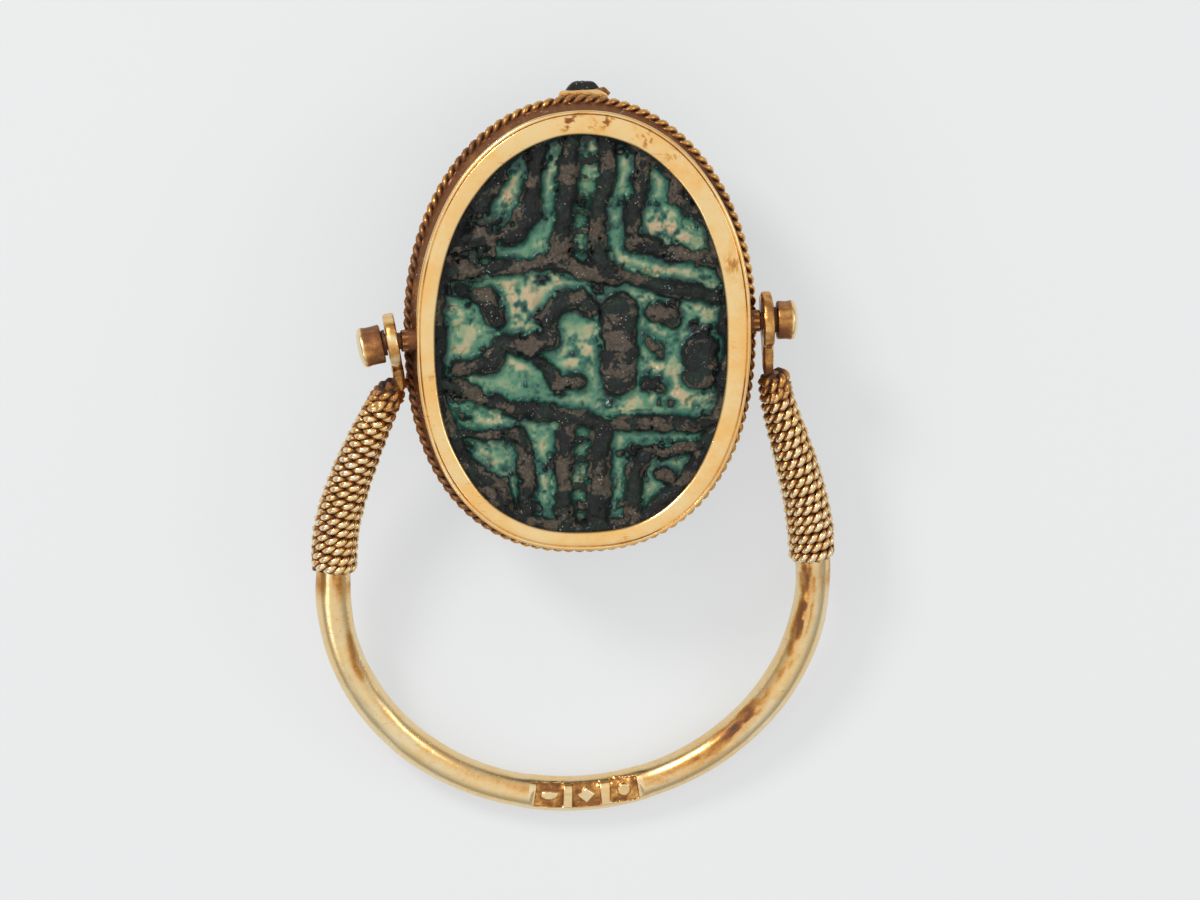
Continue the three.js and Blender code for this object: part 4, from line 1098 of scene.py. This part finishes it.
def hoopWire(shape):
    path, radii, (start, count) = hoopWirePath()
    along = unit(np.gradient(path, axis=0))
    across = np.column_stack([-along[:, 1], along[:, 0], np.zeros(len(path))])
    section = wireSection()
    run = np.zeros(len(path))
    span = path[start:start + count]
    arc = np.concatenate([[0], np.cumsum(np.linalg.norm(np.diff(span, axis=0), axis=1))])
    lowest = np.argmin(span[:, 1])
    run[start:start + count] = arc - arc[lowest]
    run[:start] = -99
    run[start + count:] = 99
    seedX, seedY = path[:, 0][:, None], path[:, 1][:, None]
    full = (radii[:, None] >= hoop["wire"] - 1e-6)
    swell = 0.02 * lumps(seedX, seedY, 2 * np.sin(section)[None, :], 1.6, 71) \
        + 0.008 * lumps(seedX, seedY, 3 * np.cos(section)[None, :], 0.6, 72) - 0.012
    room = -0.003 - 0.036 * smooth(-17, -19.5, seedY)  # less at the foot, inside the box
    radius = radii[:, None] + np.minimum(swell, room) * full
    side = radius * np.cos(section)[None, :]
    rise = radius * np.sin(section)[None, :]
    u = run[:, None] + 0 * side
    middle = (hoop["stampPlaces"][0] + hoop["stampPlaces"][-1]) / 2
    flatShare = smooth(hoop["flatLength"] / 2 + 0.5, hoop["flatLength"] / 2 - 0.1, np.abs(u - middle))
    flatTop = hoop["wire"] - hoop["flatDepth"] * flatShare + 0.01 * lumps(u, side, 0, 0.5, 73)
    rise = np.where(flatShare > 0, np.minimum(rise, flatTop + 0.35 * (1 - flatShare)), rise)
    side = side * (1 + 0.05 * flatShare)
    grime = 0.04 + 0.1 * smooth(0.0, 0.8, lumps(seedX, seedY, side, 0.9, 70)) * np.ones_like(side)
    for i, place in enumerate(hoop["stampPlaces"]):
        du, dv = u - place, side
        length, width = hoop["stampSize"]
        tilt = hoop["stampTilts"][i]
        dv = dv - hoop["stampRaise"]
        pu, pv = du + dv * tilt, dv - du * tilt
        square = smooth(length / 2 + 0.03, length / 2 - 0.03, np.abs(pu)) \
            * smooth(width / 2 + 0.03, width / 2 - 0.03, np.abs(pv)) * (rise > 0)
        mark = stampMark(i, pu, pv)
        rise = rise - square * hoop["stampSink"] * (1 - 0.75 * mark) * (1 + 0.2 * lumps(u, side, 0, 0.15, 74))
        struck = 0.48 + 0.2 * lumps(u, side, 0, 0.3, 77)
        grime = np.maximum(grime, square * struck * (1 - 0.9 * mark))
    # painted reflection: a dark brown line at a fixed angle round the wire, with speckled tarnish blotches
    # along it
    drift = 0.16 * lumps(seedX, seedY, 0, 2.1, 76) + 0.07 * lumps(seedX, seedY, 0, 0.7, 78)
    away = np.abs(section[None, :] - math.radians(hoop["darkReflectionAt"]) - drift)
    strong = 0.35 + 0.65 * smooth(-0.5, 0.4, lumps(seedX, seedY, 0, 1.7, 75))
    right = smooth(-4, 8, path[:, 0])[:, None]
    tarnishAndReflectionStreak = (0.2 + 0.04 * right) * smooth(0.3, 0.02, away) * strong + 0.24 * smooth(0.75, 0.1, away) * strong
    blotch = smooth(-0.1, 0.45, lumps(seedX, seedY, 2 * np.cos(section)[None, :], 0.42, 80))
    tarnishAndReflectionStreak = tarnishAndReflectionStreak + 0.4 * right * smooth(0.9, 0.1, away) * blotch * strong
    tarnishAndReflectionStreak = tarnishAndReflectionStreak * full * (flatShare < 0.6) + 0.09 * right + 0.1 * smooth(-15, -19, seedY)
    # painted reflection: a dark line along the flattened part at a fixed angle round the wire
    fromReflectionLine = np.abs(section[None, :] - math.radians(hoop["flatReflectionLineAt"]))
    grime = np.maximum(grime, tarnishAndReflectionStreak)
    grime = np.maximum(grime, 0.55 * smooth(0.09, 0.02, fromReflectionLine) * flatShare)
    below = np.abs(path[:, 1] + hoop["drop"] - 0.6)[:, None]  # orange where the arms leave the wraps
    front = 0.4 + 0.6 * smooth(-0.2, 0.6, lumps(seedX, seedY, 3 * np.cos(section)[None, :], 0.9, 79))
    grime = np.maximum(grime, 0.42 * smooth(1.5, 0.2, below) * front)
    grime = np.where(full, grime, 0.6)
    rings = path[:, None] + side[..., None] * across[:, None] + rise[..., None] * np.array([0, 0, 1.0])
    shape.skin(rings, grime=grime)


def strapDirt(side, points):
    stain = lumps(points[..., 0], points[..., 1], points[..., 2], 0.42, 82)
    spot = lumps(points[..., 0], points[..., 1], points[..., 2], 0.2, 83)
    low = smooth(-0.6, -1.9, points[..., 1])
    return np.clip(side["strapDirt"] + 0.24 * stain + 0.16 * spot + 0.18 * low, 0, 1)


def eyePlate(shape, side):
    n = 120
    a = np.arange(n) / n * tau - math.pi / 2
    ca, sa = np.cos(a), np.sin(a)
    wide = hoop["stalkHalfWidth"] / np.maximum(np.abs(ca), 1e-6)
    long = side["stalkLength"] / np.maximum(-sa, 1e-6)
    stalk = np.where(sa < 0, np.minimum(wide, long), 0)
    outer = np.maximum(hoop["eyeRadius"], stalk)
    for _ in range(6):
        eased = (np.roll(outer, 1) + outer + np.roll(outer, -1)) / 3
        outer = np.where(outer < side["stalkLength"], eased, outer)
    outer = outer - 0.05 + 0.02 * np.sin(3 * a + side["sign"]) + 0.012 * np.sin(8 * a)
    half = side["eyeThickness"] / 2
    hole = hoop["eyeHole"]
    shares = [(0, -half), (0, half), (0.3, half), (0.7, half), (0.88, half * 0.97), (0.96, half * 0.84),
              (1, half * 0.55), (1, -half * 0.55), (0.96, -half * 0.84), (0.88, -half * 0.97),
              (0.7, -half), (0.3, -half)]
    lean = hinge["slope"] + math.radians(side["eyeTurn"])
    normal = np.array([math.cos(lean), math.sin(lean), 0])
    upward = np.array([-math.sin(lean), math.cos(lean), 0])
    flat = np.array([0, 0, 1.0])
    rings, grimes = [], []
    for share, lift in shares:
        r = hole + (outer - hole) * share
        bump = 0.014 * lumps(r * ca, r * sa, lift * 3, 0.5, 81)
        ring = eyeCentre(side) + (r * ca)[:, None] * flat + (r * sa)[:, None] * upward \
            + (lift + bump)[:, None] * normal
        rings.append(ring)
        grimes.append(np.full(n, 0.75) if share < 0.2 else strapDirt(side, ring))
    rings = np.array(rings).transpose(1, 0, 2)
    shape.skin(rings, looped=True, grime=np.array(grimes).T)


def neckTube(shape, side):  # the strap runs on down inside the first turns of wire
    lean = math.radians(side["eyeTurn"]) + hinge["slope"]
    down = np.array([math.sin(lean), -math.cos(lean), 0])
    path, _ = armPath(side)
    half = side["eyeThickness"] / 2
    foot = eyeCentre(side) + down * side["stalkLength"]
    knots = np.array([foot - down * 0.7, foot - down * 0.35, foot, foot + down * 0.45, path[44], path[60]])
    t = np.linspace(0, 5, 51)
    line = np.column_stack([np.interp(t, range(6), knots[:, i]) for i in range(3)])
    for _ in range(10):
        line[1:-1] = (line[:-2] + line[1:-1] * 2 + line[2:]) / 4
    core = hoop["coreTop"]
    inPlane = np.interp(t, range(6), [half * 0.8, half * 1.06, half * 1.04, half * 0.95, core, core])
    deep = np.interp(t, range(6), [hoop["stalkHalfWidth"] * 0.8, 0.37, 0.35, 0.24, core, core])
    along = unit(np.gradient(line, axis=0))
    across = np.column_stack([-along[:, 1], along[:, 0], np.zeros(len(line))])
    turn = np.arange(28) / 28 * tau
    boxX = np.sign(np.cos(turn)) * np.abs(np.cos(turn)) ** 0.6  # squarer than a circle
    boxZ = np.sign(np.sin(turn)) * np.abs(np.sin(turn)) ** 0.6
    rings = line[:, None] + (inPlane[:, None] * boxX)[..., None] * across[:, None] \
        + (deep[:, None] * boxZ)[..., None] * np.array([0, 0, 1.0])
    shape.skin(rings, grime=strapDirt(side, rings) + 0.15 * smooth(2, 3, t)[:, None])


def buildHoop():
    shape = Shape()
    hoopWire(shape)
    for side in sides:
        eyePlate(shape, side)
        neckTube(shape, side)
    return makePiece("ringHoop", shape, fromHoop, "shank", ["hoop"], goldHoop, 40)


ringHoop = buildHoop()


# The wrapped arms: two-ply wire wound round and round

def twoPly(shape, path, radial, middle, reach, dirt):  # a wire of two strands along a path
    run = np.concatenate([[0], np.cumsum(np.linalg.norm(np.diff(path, axis=0), axis=1))])
    count = int(run[-1] / wrap["twist"] * wrap["stepsPerTwist"])
    even = np.linspace(0, run[-1], count)
    path, radial, middle = (np.column_stack([np.interp(even, run, v[:, i]) for i in range(3)])
                            for v in (path, radial, middle))
    reach, dirt = (np.interp(even, run, v)[:, None] for v in (reach, dirt))
    heading = unit(np.gradient(path, axis=0))
    flank = unit(np.cross(unit(radial), heading))
    radial = np.cross(heading, flank)
    ply = wrap["wire"] / 4
    for k in range(2):
        spin = wrap["turnedTo"] * even / wrap["twist"] * tau + k * math.pi
        strand, out = twistedStrand(path, radial, flank, spin, ply * 0.88)
        ring = ringsAlong(strand, unit(np.gradient(strand, axis=0)), out, ply * 1.14, wrap["sides"])
        away = np.linalg.norm(ring - middle[:, None], axis=-1) - reach
        patch = 0.1 * lumps(ring[..., 0], ring[..., 1], ring[..., 2], 0.9, 84)
        grime = 0.95 * smooth(0.23, 0.08, away) + patch + dirt
        room = np.array([-1, 1]) * wrap["sideRoom"] - hingeCentre[0]
        ring[..., 0] = np.clip(ring[..., 0], *room)
        shape.skin(ring, grime=np.clip(grime, 0, 1.05))


def buildWrap(side):
    shape = Shape()
    path, length = armPath(side, 400)
    end = 1 - side["wrapFootGap"] / length
    turns = side["wrapTurns"]
    samples = 5000
    s = np.linspace(0.1 / turns, 1 - 0.42 / turns, samples)
    centre = np.column_stack([np.interp(s * end, np.linspace(0, 1, 400), path[:, i]) for i in range(3)])
    along = unit(np.gradient(centre, axis=0))
    across = np.column_stack([-along[:, 1], along[:, 0], np.zeros(samples)])
    up = np.array([0, 0, 1.0])
    core = hoop["coreTop"] + (hoop["coreFoot"] - hoop["coreTop"]) * s
    outer = core + wrap["gap"] + wrap["room"]
    loose = smooth(0.13, 0.0, s)  # the first turns are ragged
    turn = s * turns * tau * side["sign"] + wrap["start"]
    radius = outer - wrap["wire"] / 2 + 0.03 + wrap["bulge"] * np.sin(s * math.pi) ** 0.8
    radius = radius - 0.03 * loose * (0.5 + 0.5 * np.sin(turn * 1.7))
    radial = np.cos(turn)[:, None] * across + np.sin(turn)[:, None] * up
    wobble = 0.012 * np.sin(turn * 0.53 + 1) + loose * (0.05 * np.sin(turn * 1.37) - 0.26 * np.cos(turn))
    wirePath = centre + radius[:, None] * radial + along * wobble[:, None]
    twoPly(shape, wirePath, radial, centre, radius, 0.35 * smooth(0.22, 0.0, s))
    # a loose end laid across the first turns
    t = np.linspace(0, 1, 60)
    lay = side["sign"] * (0.2 + 2.3 * t)
    down = 0.35 + 0.75 * t
    i = (down / length * 399).astype(int)
    over = np.cos(lay)[:, None] * across[0] + np.sin(lay)[:, None] * up * side["sign"]
    bulge = (hoop["coreTop"] + wrap["gap"] + wrap["room"] - 0.14) * np.ones(60)
    loosePath = path[i] + bulge[:, None] * over
    twoPly(shape, loosePath, over, path[i], bulge, 0.25 * np.ones(60))
    name = side["name"]
    return makePiece("wireWrap_" + name, shape, fromHoop, "shank", ["wire_wrap_" + name],
                     goldCoil, 80)


wraps = [buildWrap(side) for side in sides]


# The pins

pin = {
    "radius": 0.33,
    "cap": 0.78,
    "dome": 0.22,
    "shoulder": 0.52,
    "shoulderLength": 0.14,
}


def buildPin(side):
    shape = Shape()
    sign = side["sign"]
    start = side["eyeThickness"] / 2 + wrap["gap"]
    near = start + pin["shoulderLength"]
    far = near + side["capLength"]
    r = pin["cap"]
    profile = [(0.0, near), (r * 0.8, near), (r * 0.95, near + 0.015), (r * 0.985, near + 0.07),
               (r * 0.96, near + 0.3), (r * 0.965, far - 0.42), (r, far - 0.3), (r, far - pin["dome"])]
    for turn in np.linspace(0.15, 1, 9) * math.pi / 2:
        profile.append((r * math.cos(turn) ** 0.8, far - pin["dome"] * (1 - math.sin(turn))))
    profile[-1] = (0.0, far)
    profile = [(radius, sign * along) for radius, along in profile]
    axisTurn = hinge["slope"] + math.radians(side["capTurn"])
    cap = latheRings(profile, axisTurn, eyeCentre(side), 56, 0.022, 91 + sign)
    alongs = np.abs(np.array([along for _, along in profile]))
    grime = 0.72 * smooth(far - pin["dome"] * 0.9, far - pin["dome"] * 1.5, alongs)
    streaks = lumps(cap[..., 0] * 0.5, cap[..., 1] * 1.6, cap[..., 2] * 1.6, 0.3, 93)
    stains = lumps(cap[..., 0], cap[..., 1], cap[..., 2], 0.5, 94)
    grime = grime[:, None] * (0.82 + 0.3 * streaks + 0.35 * stains)
    shape.skin(cap, capped=False, grime=np.clip(grime, 0, 1))
    neck = [(0.02, sign * start), (pin["shoulder"], sign * start), (pin["shoulder"] * 0.96, sign * near),
            (0.02, sign * (near + 0.1))]
    eyeAxis = hinge["slope"] + math.radians(side["eyeTurn"])
    shape.skin(latheRings(neck, eyeAxis, eyeCentre(side), 40), grime=0.95)
    inner, outer = oval["halfWidth"] + 0.14, side["eyeReach"] + near
    stem = [(0.02, sign * inner), (pin["radius"] * 0.9, sign * inner), (pin["radius"], sign * (inner + 0.04)),
            (pin["radius"], sign * outer), (0.02, sign * (outer + 0.02))]
    shape.skin(latheRings(stem, hinge["slope"], (0, 0, 0), 32), grime=0.85)
    name = side["name"]
    return makePiece("capPin_" + name, shape, fromHoop, "shank", ["pin_" + name], goldPin, 40)


pins = [buildPin(side) for side in sides]
print("pieces made")


# Floor, light and camera

studio = {
    "floor": (0.265, 0.268, 0.27),
    "floorPatch": (0.275, 0.277, 0.277),
    "distance": 0.3,
    "tiltToHead": 8.5,
    "tiltToLeft": 4.4,
    "pixelsPerMm": 25.5,
    "aim": (584.0, 331.5),  # where the bezel's centre falls in the 1200 by 900 frame
    "zenith": (0.95, 0.95, 0.95),
    "horizon": (0.34, 0.35, 0.37),
    "glow": (0.512, 0.522, 0.524),  # the floor is a lit table
}


def buildFloor():
    mesh = bpy.data.meshes.new("studioFloor")
    n, size = 25, 0.5
    step = np.linspace(-size, size, n)
    gx, gy = np.meshgrid(step, step)
    mesh.from_pydata(np.column_stack([gx.ravel(), gy.ravel(), 0 * gx.ravel()]).tolist(), [],
                     gridFaces(n, n, loopColumns=False).tolist())
    floor = bpy.data.objects.new("studioFloor", mesh)
    bpy.context.collection.objects.link(floor)
    f = Finish("paleFloor")
    haze = f.noise(0.05, 2)
    f.shader.inputs["Emission Strength"].default_value = 1
    pale = f.mix(haze, studio["floor"], studio["floorPatch"])
    mesh.materials.append(f.shade(Base_Color=pale, Roughness=0.9, Specular_IOR_Level=0.1,
                                  Emission_Color=studio["glow"]))


def areaLight(name, place, size, power, colour=(1, 1, 1)):
    data = bpy.data.lights.new(name, "AREA")
    data.shape, data.size, data.energy, data.color = "DISK", size, power, colour
    lamp = bpy.data.objects.new(name, data)
    lamp.location = place
    lamp.rotation_euler = (Vector(headCentre * mm) - Vector(place)).to_track_quat("-Z", "Y").to_euler()
    bpy.context.collection.objects.link(lamp)


def buildWorld():
    world = bpy.data.worlds.new("studioWorld")
    bpy.context.scene.world = world
    f = Finish("studioWorld", world)
    place = f.node("ShaderNodeTexCoord", output="Generated")
    height = f.node("ShaderNodeSeparateXYZ", {}, {"Vector": place}, output="Z")
    background = f.tree.nodes["Background"]
    f.feed(background.inputs["Color"], f.mix(height.step(0.1, 0.97), studio["horizon"], studio["zenith"]))
    bpy.context.scene.view_settings.view_transform = "Standard"


def buildCamera():
    a, c = math.radians(studio["tiltToLeft"]), math.radians(studio["tiltToHead"])
    toCamera = Vector((-math.sin(a), math.sin(c), 0))
    toCamera.z = math.sqrt(1 - toCamera.length_squared)
    right = (-toCamera).cross(Vector((0, 1, 0))).normalized()
    up = right.cross(-toCamera)
    place = Vector(headCentre * mm) + toCamera * studio["distance"]
    pixel = mm / studio["pixelsPerMm"]
    aimX, aimY = studio["aim"]
    centre = Vector(headCentre * mm) + right * (600 - aimX) * pixel - up * (450 - aimY) * pixel
    back = (place - centre).normalized()
    right = up.cross(back).normalized()
    up = back.cross(right)
    data = bpy.data.cameras.new("photoCamera")
    data.sensor_width = 36
    data.lens = 36 * studio["distance"] / (1200 * pixel)
    data.clip_start, data.clip_end = 0.01, 10
    camera = bpy.data.objects.new("photoCamera", data)
    camera.matrix_world = Matrix.Translation(place) @ Matrix((right, up, back)).transposed().to_4x4()
    bpy.context.collection.objects.link(camera)
    bpy.context.scene.camera = camera


buildFloor()
buildWorld()
areaLight("topSoftbox", (-0.20, 0.22, 0.24), 0.10, 0.72)
areaLight("sideSoftbox", (0.30, 0.06, 0.22), 0.14, 0.12)
areaLight("lowSoftbox", (-0.24, -0.22, 0.22), 0.14, 0.08)
buildCamera()
print("studio made")
